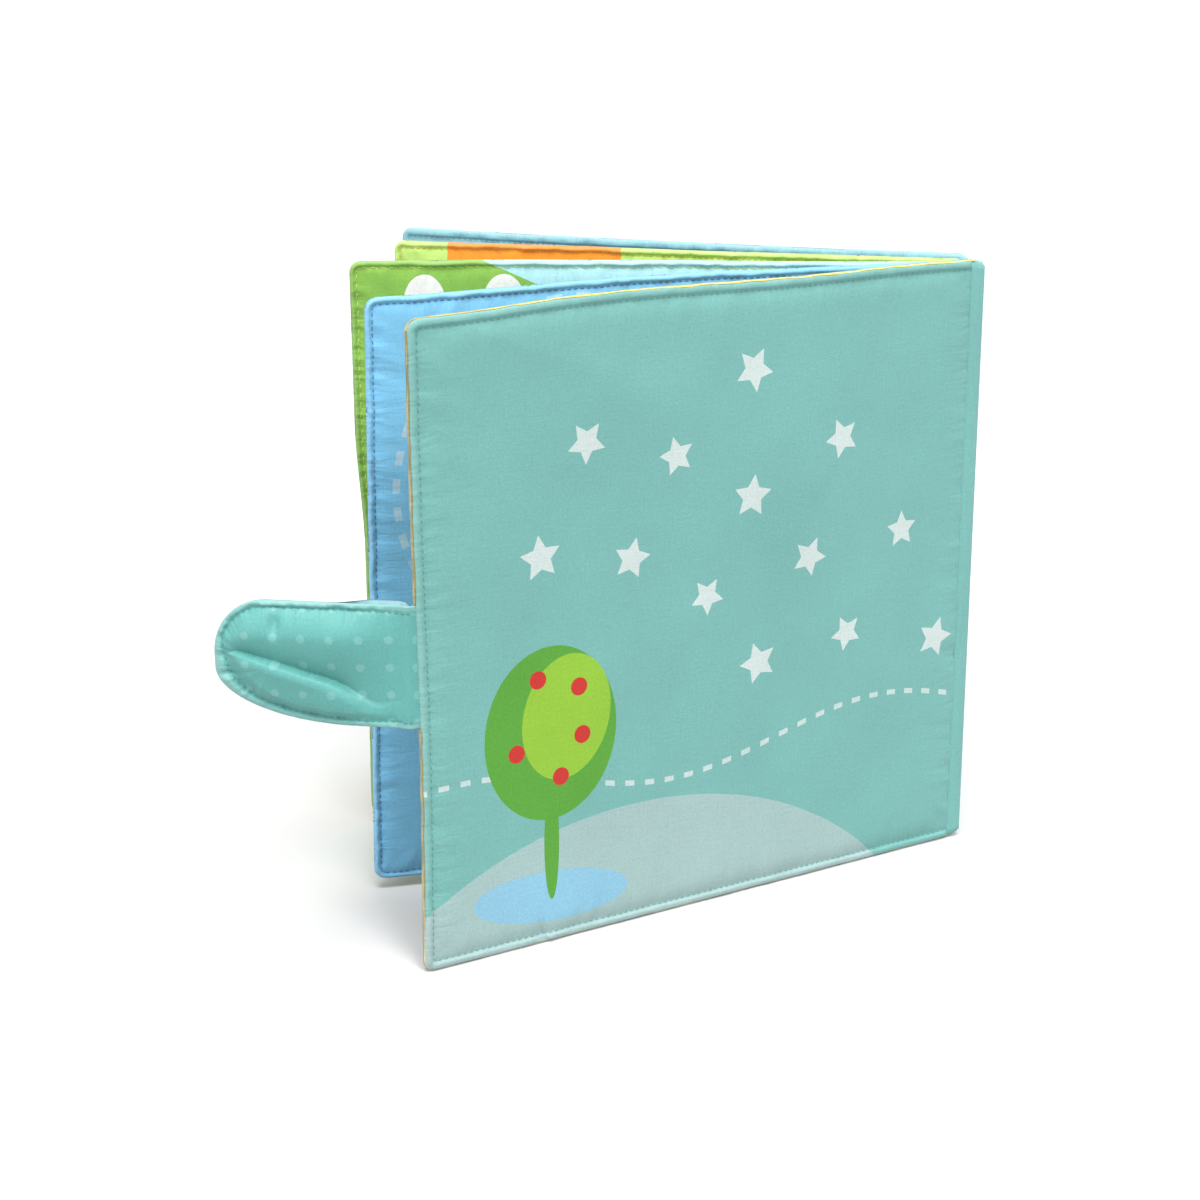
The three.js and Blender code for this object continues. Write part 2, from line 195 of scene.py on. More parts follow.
# Spine cloth, and the section of the cover's turn into it, from its seam to the strip's middle: out of the
# spine, and across it
SPINE_ORDER = ("back_cover", "leaf_1", "leaf_2", "leaf_3", "front_cover")
SPINE_HALF = 0.5
SPINE_GROOVE = 0.28
SPINE_GROOVE_HALF = 0.7
SPINE_COLUMNS = 14
SPINE_ROWS = 90
SPINE_BUNCH = 0.35
SPINE_TRIM = 1.8
SPINE_HEM = 2.2
SPINE_HEM_HEIGHT = 0.35
SPINE_END_RUN = 0.5
SPINE_END_DEPTH = 0.4
SPINE_STITCH_START = 4
PLAIN_INSET = 9.0
FOLD_PLANE = 300
TURN_PLANE = 320
TURN_SECTION = (
    (-4.3, 0.4), (-3.8, 0.75), (-3.2, 0.98), (-2.4, 1.12), (-1.4, 1.18), (-0.5, 1.14),
    (0.05, 0.98), (0.32, 0.68), (0.4, 0.4), (0.36, 0.15), (0.22, 0),
)
TURN_COLUMNS = 20
TURN_CLOTH = 0.35
HEAD_ROUND = 1.6
HEAD_LEAST = 0.01
HEAD_SINK = 0.7
HEAD_SINK_BAND = (-2, 0.5)
HEAD_DROP_BAND = (-4, 0.4)
HEAD_DROP = 0.9
FRONT_HEAD_DROP = 2.2

# Closing strap, as it lies before it is creased. STRAP_TIGHT and STRAP_LOOSE are a height and a reach
STRAP_LENGTH = 54.5
STRAP_WIDTH = 34
STRAP_TIP_RADIUS = 15
STRAP_LOWER_RUN = 38
STRAP_AXIS_DEPTH = 1.35
STRAP_DROP = 2.0
STRAP_INSIDE = 3
STRAP_BEND = (-1.0, 4.5)
STRAP_FOLD_HALF = 5
STRAP_SEWN_HALF = 0.4
STRAP_OPENS = (-1, 22)
STRAP_ROLL_HEIGHT = 0.95
STRAP_STITCH_INSET = 1.9
STRAP_STITCH_HEIGHT = 0.5
STRAP_FIELD_INSET = 4.6
STRAP_FIELD_HEIGHT = 1.2
STRAP_UPPER_CROWN = 3.7
STRAP_LOWER_CROWN = 1.2
STRAP_CROWN_BAND = (-8, 9)
STRAP_CROWN_RUN = 8
STRAP_LINING_LIP = 0.75
STRAP_LIP_LEAN = 1.7
STRAP_LIP_EDGE = 0.89
STRAP_LIP_START = (-0.5, 1.5)
STRAP_LIP_STOP = (10, 22)
STRAP_ROWS = 100
STRAP_COLUMNS = 120
STRAP_BUNCH = 0.4
STRAP_PLANE = (5, 50)
STRAP_GATHER_REACH = 2
STRAP_PINCH = 0.4
STRAP_PINCH_RATE = 1.37
STRAP_DRAWN_PAST = 0.6
STRAP_TIGHT_KNOTS = 56
STRAP_TIGHT = (0.35, 1.6)
STRAP_LOOSE_KNOTS = 24
STRAP_LOOSE = (0.4, 3)
STRAP_SWELL_CELL = 9
STRAP_SWELL = 0.7
STRAP_SWELL_START = 90
STRAP_SEAM_POINTS = 240
STRAP_SEAM_STEPS = 30
STRAP_SEAM_LOOK = 0.2
STIFFENER_HALF = 0.4
STIFFENER_LEAST = 0.02
STIFFENER_POINTS = 40
STIFFENER_START = 0.5
STIFFENER_SHORT = 4
STIFFENER_SHARE = 0.86
STIFFENER_GAP = 0.3
STIFFENER_SPREAD = (-1.2, -0.6, 0, 0.6, 1.2)

# Crease along the strap, as places along and across it, and the small dimple by its upper seam
CREASE = (
    (-4, -9.6), (0.8, -9.8), (5.5, -11.3), (10.3, -12), (13.5, -10.6), (16.7, -8.4), (19.4, -6.3), (23, -4.5),
    (29.4, -2.6), (37.3, -0.2), (47.6, 2.2), (53, 1),
)
CREASE_POINTS = 80
CREASE_START = (0, 5)
CREASE_SHARP = (13, 22)
CREASE_STOP = (45, 53)
CREASE_SOFT = 0.45
CREASE_SHADE_BAND = (0.1, 0.7)
CREASE_SHADE_REACH = 2.2
RIDGE_HEIGHT = 2.1
RIDGE_BACK = 2.6
RIDGE_DROP = 0.5
RIDGE_REACH = 16
CREASE_FALL = 0.45
SOFT_FALL = 1.8
CREASE_DEPTH = 1.8
CREASE_REACH = 5
DIMPLE = (37, 11)
DIMPLE_SIZE = (1.5, 3)
DIMPLE_DEPTH = 1.4

# Hook-and-loop closure: its tape, its rows of wires, and their forms. A hook is given by places aside and up
PATCH_BASE = 0.4
PATCH_ROUND = 0.5
PATCH_CORNER = 2
PATCH_STITCH_INSET = 1.1
PILE_MARGIN = 1.7
WIRE = 0.07
WIRE_SIDES = 4
WIRE_STRAY = (0.3, 0.7)
WIRE_ASIDE = (0.31, 0.47, 0.83)
HOOK_ROWS = (13, 12)
HOOK = ((0, -0.2), (0, 0.5), (0.06, 0.9), (0.2, 1), (0.32, 0.85), (0.34, 0.6))
LOOP_ROWS = (20, 18)
LOOP_POINTS = 7
LOOP_REACH = (0.35, 0.6)
LOOP_RISE = (0.6, 1)
LOOP_LEAN = 0.3


def smooth(share):
    share = np.clip(share, 0, 1)
    return share * share * (3 - 2 * share)


def ramp(value, low, high):
    """0 up to low, 1 from high on, and smooth between."""
    return smooth((value - low) / (high - low))


def eased(share):
    """From 0 to 1, steep at first and level at the end."""
    return 1 - (1 - np.clip(share, 0, 1)) ** 2


def hump(value, middle_at, half_width):
    """1 at the middle, falling away on both sides."""
    return np.exp(-(((value - middle_at) / half_width) ** 2))


def fading(distance, reach):
    """1 up to a distance of zero, falling away past it."""
    return np.exp(-np.maximum(distance, 0) / reach)


def ring_noise(knots):
    """Smooth noise from -1 to 1 round a closed line, as a function of the share of the way round."""
    knots = int(knots)
    values = random.uniform(-1, 1, knots)

    def noise(share):
        place = np.mod(share, 1) * knots
        low = np.floor(place).astype(int) % knots
        step = smooth(place - np.floor(place))
        return values[low] * (1 - step) + values[(low + 1) % knots] * step

    return noise


def plane_noise(cell, size=16):
    """Smooth noise from 0 to 1 over a plane, with one random value for each cell."""
    values = random.uniform(0, 1, (size, size))

    def noise(u, z):
        column = np.floor(u / cell).astype(int)
        row = np.floor(z / cell).astype(int)
        across = smooth(u / cell - column)
        up = smooth(z / cell - row)

        def blended(row):
            here = values[column % size, row % size]
            after = values[(column + 1) % size, row % size]
            return here * (1 - across) + after * across

        return blended(row) * (1 - up) + blended(row + 1) * up

    return noise


def spline(points, count):
    """A smooth line through points, as count places along it."""
    points = np.array(points, float)
    padded = np.concatenate([2 * points[:1] - points[1:2], points, 2 * points[-1:] - points[-2:-1]])
    place = np.linspace(0, len(points) - 1, count)
    low = np.minimum(place.astype(int), len(points) - 2)
    t = (place - low)[:, None]
    a, b, c, d = (padded[low + k] for k in range(4))
    return 0.5 * (2 * b + (c - a) * t + (2 * a - 5 * b + 4 * c - d) * t**2 + (3 * b - a - 3 * c + d) * t**3)


def grid(rows, columns):
    """The row and column values at the points of a grid, row by row."""
    return (field.ravel() for field in np.meshgrid(rows, columns, indexing="ij"))


def unit(vectors):
    return vectors / np.maximum(np.linalg.norm(vectors, axis=-1, keepdims=True), 1e-12)


def sewn_profile(inset, stitch_inset, groove_run, field_run, roll_height, stitch_height, field_height):
    """Height of a sewn cloth, from its edge in: a seam, a roll, a stitched groove and a rise to its field."""
    roll = SEAM_HEIGHT + (roll_height - SEAM_HEIGHT) * np.sqrt(eased(inset / (stitch_inset / 2)))
    groove = roll + (stitch_height - roll_height) * ramp(inset, stitch_inset - groove_run, stitch_inset)
    return groove + (field_height - stitch_height) * eased((inset - stitch_inset) / field_run)


def on_roll(inset, stitch_inset):
    """1 on the roll between the edge and the stitching, falling away on both sides."""
    return hump(inset, ROLL_MIDDLE * stitch_inset, ROLL_SPREAD * stitch_inset)


def middle(node):
    low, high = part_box(node)
    return (low + high) / 2


def settle(piece, body, node=None, slot=None):
    """Lets a piece ride on a body and stand for a node of the frame, whose part it hides. slot is not used.
    """
    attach(piece, body)
    stand_for(node, slot)


def stand_for(node=None, slot=None):
    if node:
        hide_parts(node)


def add_object(name, data):
    obj = bpy.data.objects.new(name, data)
    bpy.context.scene.collection.objects.link(obj)
    return obj


# Materials


def srgb(*levels):
    """A display colour, 0 to 255, as the linear colour that a shader takes."""
    def linear(share):
        return share / 12.92 if share <= 0.04045 else ((share + 0.055) / 1.055) ** 2.4

    return (*(linear(level / 255) for level in levels), 1)


TEAL = srgb(124, 185, 179)
STAR = srgb(212, 226, 224)
PALE_GROUND = srgb(168, 197, 195)
POND = srgb(146, 200, 226)
YELLOW = srgb(208, 168, 76)
# The lining's rim: a mustard for painted shade along its sides, and a pale yellow for painted light along its
# head
SHADED_RIM_MUSTARD = srgb(152, 134, 62)
LIT_HEAD_YELLOW = srgb(246, 216, 92)
RIM_CREAM = srgb(214, 198, 142)
BLUE = srgb(130, 202, 245)
GREEN = srgb(139, 190, 84)
DARK_GREEN = srgb(92, 166, 58)
LIGHT_GREEN = srgb(150, 200, 60)
SKY = srgb(144, 196, 206)
PALE_SKY = srgb(182, 231, 238)
LIME = srgb(194, 230, 126)
ORANGE = srgb(255, 152, 50)
PEACH = srgb(246, 196, 142)
RED = srgb(206, 52, 44)
WHITE = srgb(244, 242, 238)
CREAM = srgb(246, 232, 196)
STRAP_TEAL = srgb(98, 172, 166)
STRAP_DOT = srgb(160, 210, 206)
DASH = srgb(178, 218, 244)
FILM_TINT = srgb(236, 244, 246)
WADDING_WHITE = srgb(243, 242, 236)
LINEN = srgb(232, 228, 216)
TAPE_WHITE = srgb(222, 232, 228)
FLOOR_SEEN = srgb(222, 222, 222)
FLOOR_BOUNCE = srgb(172, 172, 172)
THREADS = {
    "teal": srgb(108, 172, 165),
    "blue": srgb(66, 116, 182),
    "green": srgb(206, 214, 96),
    "cream": CREAM,
    "lime": srgb(206, 178, 74),
    "strap": srgb(84, 158, 153),
    "sky": srgb(186, 232, 240),
}


class Field:
    """What a node gives at each point of a surface. Arithmetic with it adds nodes."""

    def __init__(self, nodes, socket):
        self.nodes = nodes
        self.socket = socket

    def combined(self, operation, other):
        return self.nodes.math(operation, self, other)

    __add__ = partialmethod(combined, "ADD")
    __sub__ = partialmethod(combined, "SUBTRACT")
    __mul__ = partialmethod(combined, "MULTIPLY")
    __truediv__ = partialmethod(combined, "DIVIDE")
    __pow__ = partialmethod(combined, "POWER")
    __lt__ = partialmethod(combined, "LESS_THAN")
    __gt__ = partialmethod(combined, "GREATER_THAN")


class Nodes:
    """A node tree being built, with short ways to add nodes and link them."""

    def __init__(self, tree):
        self.tree = tree

    def add(self, kind, inputs=(), **settings):
        node = self.tree.nodes.new(kind)
        for name, value in settings.items():
            setattr(node, name, value)
        for index, value in inputs:
            self.feed(node.inputs[index], value)
        return node

    def feed(self, socket, value):
        if isinstance(value, Field):
            self.tree.links.new(value.socket, socket)
        elif socket.type == "VECTOR":
            socket.default_value = value[:3]
        else:
            socket.default_value = value

    def field(self, kind, inputs=(), output=0, **settings):
        return Field(self, self.add(kind, inputs, **settings).outputs[output])

    def math(self, operation, *values):
        return self.field("ShaderNodeMath", enumerate(values), operation=operation)

    def noise(self, vector, scale, detail=2.0):
        inputs = [("Vector", vector), ("Scale", scale), ("Detail", detail)]
        return self.field("ShaderNodeTexNoise", inputs, "Fac", normalize=True)

    def scaled(self, vector, factor):
        return self.field("ShaderNodeVectorMath", [(0, vector), ("Scale", factor)], operation="SCALE")

    def bumped(self, height, strength, distance, **normal):
        inputs = [("Strength", strength), ("Distance", distance * MM), ("Height", height), *normal.items()]
        return self.field("ShaderNodeBump", inputs)

    def mix(self, share, first, second):
        node = self.add("ShaderNodeMix", [("Factor", share)], data_type="RGBA")
        colours = [socket for socket in node.inputs if socket.type == "RGBA"]
        self.feed(colours[0], first)
        self.feed(colours[1], second)
        return Field(self, next(socket for socket in node.outputs if socket.type == "RGBA"))

    def background_rays(self):
        """1 for the rays that show the background as it looks, and 0 for those that light the object."""
        path = self.add("ShaderNodeLightPath").outputs
        rays = ("Camera", "Glossy", "Transmission")
        camera, glossy, through = (Field(self, path[f"Is {ray} Ray"]) for ray in rays)
        return self.math("MAXIMUM", camera, self.math("MAXIMUM", glossy, through))


class Shader(Nodes):
    """A node material being built."""

    def __init__(self, name):
        self.material = bpy.data.materials.new(name)
        self.material.use_nodes = True
        super().__init__(self.material.node_tree)
        self.surface = self.tree.nodes["Principled BSDF"]

    def set(self, **values):
        for name, value in values.items():
            self.feed(self.surface.inputs[name.replace("_", " ")], value)

    def position(self):
        return self.field("ShaderNodeNewGeometry", output="Position")


class Print(Shader):
    """A woven cloth, printed with shapes in its own plane, in millimetres along u and z."""

    UV_MM = 100
    SLUB_SCALES = (0.16, 2.2)
    SPECKLE_SCALE = 1.3
    CLOUD_SCALE = 0.035
    SLUB_DYE = 0.12
    SPECKLE_DYE = 0.28
    CLOUD_DYE = 0.2
    SLUB_ROUGHNESS = 0.25
    # Patches of white along the rolled edges: partly wear, partly painted highlight
    WEAR_AND_HIGHLIGHT = 0.2
    WEAR_AND_HIGHLIGHT_FALL = 0.6
    WEAVE_SHARE = 0.35
    WEAVE_DEPTH = 0.25
    WRINKLE_DEPTH = 4
    WRINKLE_RATE = 0.34
    WRINKLE_RUN = 0.05
    WANDER_SCALE = 0.11
    WANDER = 1.2

    def __init__(
        self, name, ground, thread=0.45, roughness=0.86, sheen=0.25, specular=0.25, bump=0.3, wrinkle=0.0
    ):
        super().__init__(name)
        self.plane = self.scaled(self.field("ShaderNodeUVMap", uv_map="cloth"), self.UV_MM)
        split = self.add("ShaderNodeSeparateXYZ", [(0, self.plane)]).outputs
        self.u = Field(self, split[0])
        self.z = Field(self, split[1])
        self.inset = self.attribute("inset")
        self.colour = ground
        self.thread = thread
        self.roughness = roughness
        self.bump = bump
        self.wrinkle = wrinkle
        self.set(Sheen_Weight=sheen, Sheen_Roughness=0.5, Specular_IOR_Level=specular)

    def attribute(self, name):
        return self.field("ShaderNodeAttribute", output="Fac", attribute_name=name)

    def shade(self, depth):
        """Darkens the cloth where it lies in a tight fold."""
        self.colour = self.scaled(self.colour, self.attribute("fold") * -depth + 1.0)

    def layer(self, mask, colour, cover=1.0):
        self.colour = self.mix(mask if cover == 1.0 else mask * cover, self.colour, colour)

    def shape(self, group, *values):
        node = self.add("ShaderNodeGroup", node_tree=group)
        for socket, value in zip(node.inputs, (self.u, self.z, *values)):
            self.feed(socket, value)
        return Field(self, node.outputs[0])

    def ellipse(self, u, z, radius_u, radius_z, turn=0.0):
        return self.shape(ellipse_group, u, z, radius_u, radius_z, turn)

    def dashes(self, along, across, half_width, pitch, share):
        """A dashed line where across is zero, from two fields that grow along it and across it."""
        near = self.math("ABSOLUTE", across) < half_width
        return near * (self.math("FRACT", along / pitch) < share)

    def dots(self, pitch, radius):
        """A square pattern of dots."""
        def offset(value):
            return (self.math("FRACT", value / pitch) - 0.5) * pitch

        far = offset(self.u) ** 2.0 + offset(self.z) ** 2.0
        sharp = far * (-3 / radius**2) + 3.0
        return self.math("MINIMUM", self.math("MAXIMUM", sharp, 0.0), 1.0)

    def streaks(self, along_scale, across_scale):
        scale = (along_scale, across_scale, 1)
        stretched = self.field("ShaderNodeMapping", [("Vector", self.plane), ("Scale", scale)])
        return self.noise(stretched, 1.0, 3.0)

    def finish(self):
        """Adds the weave, its slubs and uneven dye, and patches of white along the rolled edges, partly wear
        and partly painted highlight, and links it all.
        """
        slubs = self.streaks(*self.SLUB_SCALES) + self.streaks(*self.SLUB_SCALES[::-1]) - 1.0
        speckle = self.noise(self.plane, self.SPECKLE_SCALE) - 0.5
        cloud = self.noise(self.plane, self.CLOUD_SCALE, 3.0)
        dyed = slubs * self.SLUB_DYE + speckle * self.SPECKLE_DYE
        uneven = dyed + (cloud - 0.5) * self.CLOUD_DYE + 1.0
        # Patches of white along the rolled edges, partly wear and partly painted highlight
        wear_and_highlight = self.math("MAXIMUM", self.inset * -self.WEAR_AND_HIGHLIGHT_FALL + 1.0, 0.0) * cloud * self.WEAR_AND_HIGHLIGHT
        turns = 2 * math.pi / self.thread
        weave = self.math("SINE", self.u * turns) * self.math("SINE", self.z * turns)
        normal = self.bumped(weave * self.WEAVE_SHARE + slubs, self.bump, self.WEAVE_DEPTH)
        self.set(
            Base_Color=self.mix(wear_and_highlight, self.scaled(self.colour, uneven), WHITE),
            Normal=self.drawn(normal) if self.wrinkle else normal,
            Roughness=slubs * self.SLUB_ROUGHNESS + self.roughness,
        )
        return self.material

    def drawn(self, normal):
        """Fine wrinkles that the stitching draws in from the edge, on top of a normal."""
        wander = (self.noise(self.plane, self.WANDER_SCALE, 1.0) - 0.5) * self.WANDER
        along = self.attribute("round") * self.WRINKLE_RATE + wander
        place = self.field("ShaderNodeCombineXYZ", [(0, along), (1, self.inset * self.WRINKLE_RUN)])
        folds = (self.noise(place, 1.0) - 0.5) * self.attribute("gather")
        return self.bumped(folds, self.wrinkle, self.WRINKLE_DEPTH, Normal=normal)


class Group(Nodes):
    """A node group for one printed shape: it takes u, z and the shape's sizes, and gives a mask."""

    def __init__(self, name, *sizes):
        super().__init__(bpy.data.node_groups.new(name, "ShaderNodeTree"))
        for socket in ("u", "z", *sizes):
            self.tree.interface.new_socket(socket, in_out="INPUT", socket_type="NodeSocketFloat")
        self.tree.interface.new_socket("mask", in_out="OUTPUT", socket_type="NodeSocketFloat")
        given = self.tree.nodes.new("NodeGroupInput").outputs
        self.given = [Field(self, socket) for socket in list(given)[:2 + len(sizes)]]

    def gives(self, mask):
        self.feed(self.tree.nodes.new("NodeGroupOutput").inputs[0], mask)
        return self.tree


def make_ellipse_group():
    group = Group("ellipse", "centre u", "centre z", "radius u", "radius z", "turn")
    u, z, centre_u, centre_z, radius_u, radius_z, turn = group.given
    right = u - centre_u
    up = z - centre_z
    cosine = group.math("COSINE", turn)
    sine = group.math("SINE", turn)
    along = (right * cosine + up * sine) / radius_u
    across = (up * cosine - right * sine) / radius_z
    return group.gives(along**2.0 + across**2.0 < 1.0)


def make_star_group(points=5, notch=0.5):
    """A star of that many points, whose notches lie at a share of its size from the middle."""
    group = Group("star", "centre u", "centre z", "size", "turn")
    u, z, centre_u, centre_z, size, turn = group.given
    right = u - centre_u
    up = z - centre_z
    half = math.pi / points
    folded = group.math("PINGPONG", group.math("ARCTAN2", up, right) + turn, half)
    radius = group.math("SQRT", right * right + up * up)
    lean = notch * math.sin(half)
    run = 1 - notch * math.cos(half)
    reach = radius * group.math("COSINE", folded) * lean + radius * group.math("SINE", folded) * run
    return group.gives(reach < size * lean)


ellipse_group = make_ellipse_group()
star_group = make_star_group()

# Print of the covers, in millimetres from the spine edge and the foot: a hill, a tree of ovals placed from
# its foot, its fruit, a dashed path, and arcs of stars. Each arc is a radius, the number of its stars and the
# first and last angle
HILL = (118, -62, 112, 98)
TREE_PLACE = (146, 16)
TREE = (
    (POND, 0, -2, 25, 7.5, 0.08),
    (DARK_GREEN, 0, 14, 2.4, 17, 0),
    (DARK_GREEN, 0, 46, 21, 25, 0),
    (LIGHT_GREEN, -5, 50, 14, 18, 0.2),
)
FRUIT = ((-10, 44), (4, 62), (11, 42), (-3, 33), (-9, 58))
FRUIT_RADIUS = 2.6
PATH_HEIGHT = 47.0
PATH_WAVE = 6.0
PATH_TURN = 0.045
PATH_DASHES = (0.8, 6.6, 0.47)
STAR_TURN = 0.35
STAR_CENTRE = 18
STAR_ARCS = ((78, 4, 28, 92), (108, 5, 22, 84), (138, 4, 14, 62))
STAR_SIZES = (6.4, 5.6, 6.0)

# Prints of the pages, the lining and the strap. Dots are a pitch and a radius
FLOWERS = ((158, 153), (135, 153), (128, 100), (154, 58), (108, 36))
RING_PLACE = (120.0, 118.0)
RING_RADIUS = 52.0
RING_DASHES = (1.1, 8.2, 0.52)
WEDGE_SLOPE = 0.45
WEDGE_HEIGHT = 110.5
BAND = (106, 162)
DOTTED_TO = 156.0
SKY_DOTS = (14, 1.3)
STRIPE_PITCH = 12.0
STRIPE_SHARE = 0.18
LINING_DOTS = (11, 1.5)
RIM = 0.9
RIM_EDGE = 0.1
RIM_HEAD = 177.0
RIM_FOOT_FALL = 0.04
STRAP_DOTS = (7.7, 1.25)
STRAP_RIM = 0.75
STRAP_SHADE = 0.1


def cover_print(name):
    """Teal cover: arcs of pale stars over a low pale hill, and a round tree on a blue oval."""
    cloth = Print(name, TEAL, wrinkle=0.2)
    tree_u, tree_z = TREE_PLACE
    count = 0
    for radius, stars, first, last in STAR_ARCS:
        for step in range(stars):
            angle = math.radians(first + (last - first) * step / (stars - 1))
            place = (tree_u - radius * math.cos(angle), tree_z + STAR_CENTRE + radius * math.sin(angle))
            size = STAR_SIZES[count % len(STAR_SIZES)]
            cloth.layer(cloth.shape(star_group, *place, size, STAR_TURN * count), STAR)
            count += 1
    cloth.layer(cloth.ellipse(*HILL), PALE_GROUND)
    path = cloth.math("SINE", cloth.u * PATH_TURN) * PATH_WAVE
    cloth.layer(cloth.dashes(cloth.u, cloth.z - PATH_HEIGHT - path, *PATH_DASHES), STAR, 0.85)
    fruit = [(RED, *place, FRUIT_RADIUS, FRUIT_RADIUS) for place in FRUIT]
    for colour, right, up, *size in (*TREE, *fruit):
        cloth.layer(cloth.ellipse(tree_u + right, tree_z + up, *size), colour)
    return cloth.finish()


def flower(cloth, u, z, petals=5, radius=8.5, slim=0.72, heart=0.55):
    """Oval petals of a radius round a heart. slim and heart are shares of that radius."""
    for petal in range(petals):
        angle = 2 * math.pi * petal / petals + math.pi / 2
        place = (u + radius * math.cos(angle), z + radius * math.sin(angle))
        cloth.layer(cloth.ellipse(*place, radius, slim * radius, angle), WHITE)
    cloth.layer(cloth.ellipse(u, z, heart * radius, heart * radius), PEACH)


def green_print(name):
    """Green page with white flowers, and light blue beyond a slanting line towards the spine."""
    cloth = Print(name, GREEN, wrinkle=0.4)
    for place in FLOWERS:
        flower(cloth, *place)
    cloth.layer(cloth.u * -WEDGE_SLOPE + cloth.z > WEDGE_HEIGHT, PALE_SKY)
    return cloth.finish()


def blue_print(name):
    """Blue page with a ring of white dashes."""
    cloth = Print(name, BLUE, wrinkle=0.26)
    right = cloth.u - RING_PLACE[0]
    up = cloth.z - RING_PLACE[1]
    across = cloth.math("SQRT", right * right + up * up) - RING_RADIUS
    along = cloth.math("ARCTAN2", up, right) * RING_RADIUS
    cloth.layer(cloth.dashes(along, across, *RING_DASHES), DASH)
    return cloth.finish()


def lime_print(name):
    """Lime page with an upright orange band."""
    cloth = Print(name, LIME, wrinkle=0.4)
    cloth.layer((cloth.u > BAND[0]) * (cloth.u < BAND[1]), ORANGE)
    return cloth.finish()


def sky_print(name):
    """Light blue page with small white dots."""
    cloth = Print(name, SKY, wrinkle=0.4)
    cloth.layer(cloth.dots(*SKY_DOTS) * (cloth.z < DOTTED_TO), WHITE, 0.7)
    return cloth.finish()


def striped_print(name):
    """Lime page with thin green stripes."""
    cloth = Print(name, LIME, wrinkle=0.4)
    cloth.layer(cloth.math("FRACT", cloth.z / STRIPE_PITCH) < STRIPE_SHARE, GREEN)
    return cloth.finish()


def yellow_print(name):
    """Warm yellow lining with cream dots, mustard along its rim for painted shade, pale yellow along the
    head's rim for painted light, and bleached towards its foot.
    """
    cloth = Print(name, YELLOW, wrinkle=0.3)
    cloth.layer(cloth.dots(*LINING_DOTS), CREAM, 0.8)
    rim = cloth.inset < RIM
    # Mustard along the rim: painted shade
    cloth.layer(rim, SHADED_RIM_MUSTARD)
    cloth.layer(cloth.inset < RIM_EDGE, RIM_CREAM)
    # Pale yellow along the head's rim, which faces the light: painted light
    cloth.layer(rim * (cloth.z > RIM_HEAD), LIT_HEAD_YELLOW)
    cloth.layer(rim * cloth.math("MAXIMUM", cloth.z * -RIM_FOOT_FALL + 1.0, 0.0), CREAM, 0.8)
    return cloth.finish()


def strap_print(name):
    """Teal sateen with faint pale dots, a pale band on its rolled rim that is partly wear and partly painted
    highlight, and painted shade in its tuck.
    """
    sateen = {"thread": 0.3, "roughness": 0.5, "sheen": 0.05, "specular": 0.5, "bump": 0.2}
    cloth = Print(name, STRAP_TEAL, wrinkle=0.4, **sateen)
    cloth.layer(cloth.dots(*STRAP_DOTS) * (cloth.inset > STRAP_STITCH_INSET), STRAP_DOT, 0.3)
    # Pale band on the rolled rim: partly wear, partly painted highlight
    cloth.layer(cloth.inset < STRAP_RIM * STRAP_STITCH_INSET, STRAP_DOT, 0.25)
    # Painted shade in the tuck, from the fold attribute
    cloth.shade(STRAP_SHADE)
    return cloth.finish()


def fibre_material(name, colour, scale, detail, contrast, bump, **surface):
    """Twisted or matted fibres. contrast is the gain and the least of their shade, and bump its strength and
    depth in millimetres."""
    fibre = Shader(name)
    strands = fibre.noise(fibre.position(), scale, detail)
    gain, least = contrast
    dyed = fibre.scaled(colour, strands * gain + least)
    fibre.set(Base_Color=dyed, Normal=fibre.bumped(strands, *bump), **surface)
    return fibre.material


def fleece_material(name, colour, scale):
    matted = {"detail": 5.0, "contrast": (0.3, 0.82), "bump": (0.6, 0.4)}
    return fibre_material(name, colour, scale, **matted, Roughness=0.95, Sheen_Weight=0.5)


def thread_material(name, colour):
    twisted = {"detail": 1.0, "contrast": (0.5, 0.75), "bump": (0.4, 0.1)}
    return fibre_material(name, colour, 5000, **twisted, Roughness=0.6, Sheen_Weight=0.3)


def film_material(name):
    """Clear soft film with faint ripples in its gloss."""
    film = Shader(name)
    ripple = film.noise(film.position(), 60)
    film.set(Roughness=ripple * 0.08 + 0.06, Normal=film.bumped(ripple, 0.15, 1))
    film.set(Base_Color=FILM_TINT, Alpha=0.14, Specular_IOR_Level=0.8, Coat_Weight=0.5, Coat_Roughness=0.05)
    return film.material


materials = {
    "cover": cover_print("cover_cloth"),
    "yellow": yellow_print("yellow_lining"),
    "blue": blue_print("blue_page"),
    "green": green_print("green_page"),
    "lime": lime_print("lime_page"),
    "striped": striped_print("striped_page"),
    "sky": sky_print("sky_page"),
    "strap": strap_print("strap_cloth"),
    "teal": Print("teal_cloth", TEAL).finish(),
    "plain_blue": Print("blue_tape", BLUE).finish(),
    "plain_green": Print("green_tape", GREEN).finish(),
    "plain_lime": Print("lime_tape", LIME).finish(),
    "plain_sky": Print("sky_cloth", SKY).finish(),
    "wadding": fleece_material("wadding", WADDING_WHITE, 900),
    "interlining": fleece_material("interlining", LINEN, 1600),
    "tape": fleece_material("fastener_tape", TAPE_WHITE, 1400),
    "film": film_material("pocket_film"),
}
for title, colour in THREADS.items():
    name = f"{title}_thread"
    materials[name] = thread_material(name, colour)


# Meshes


def read(items, field, width, kind=float):
    values = np.zeros(width * len(items), kind)
    items.foreach_get(field, values)
    return values.reshape(-1, width)


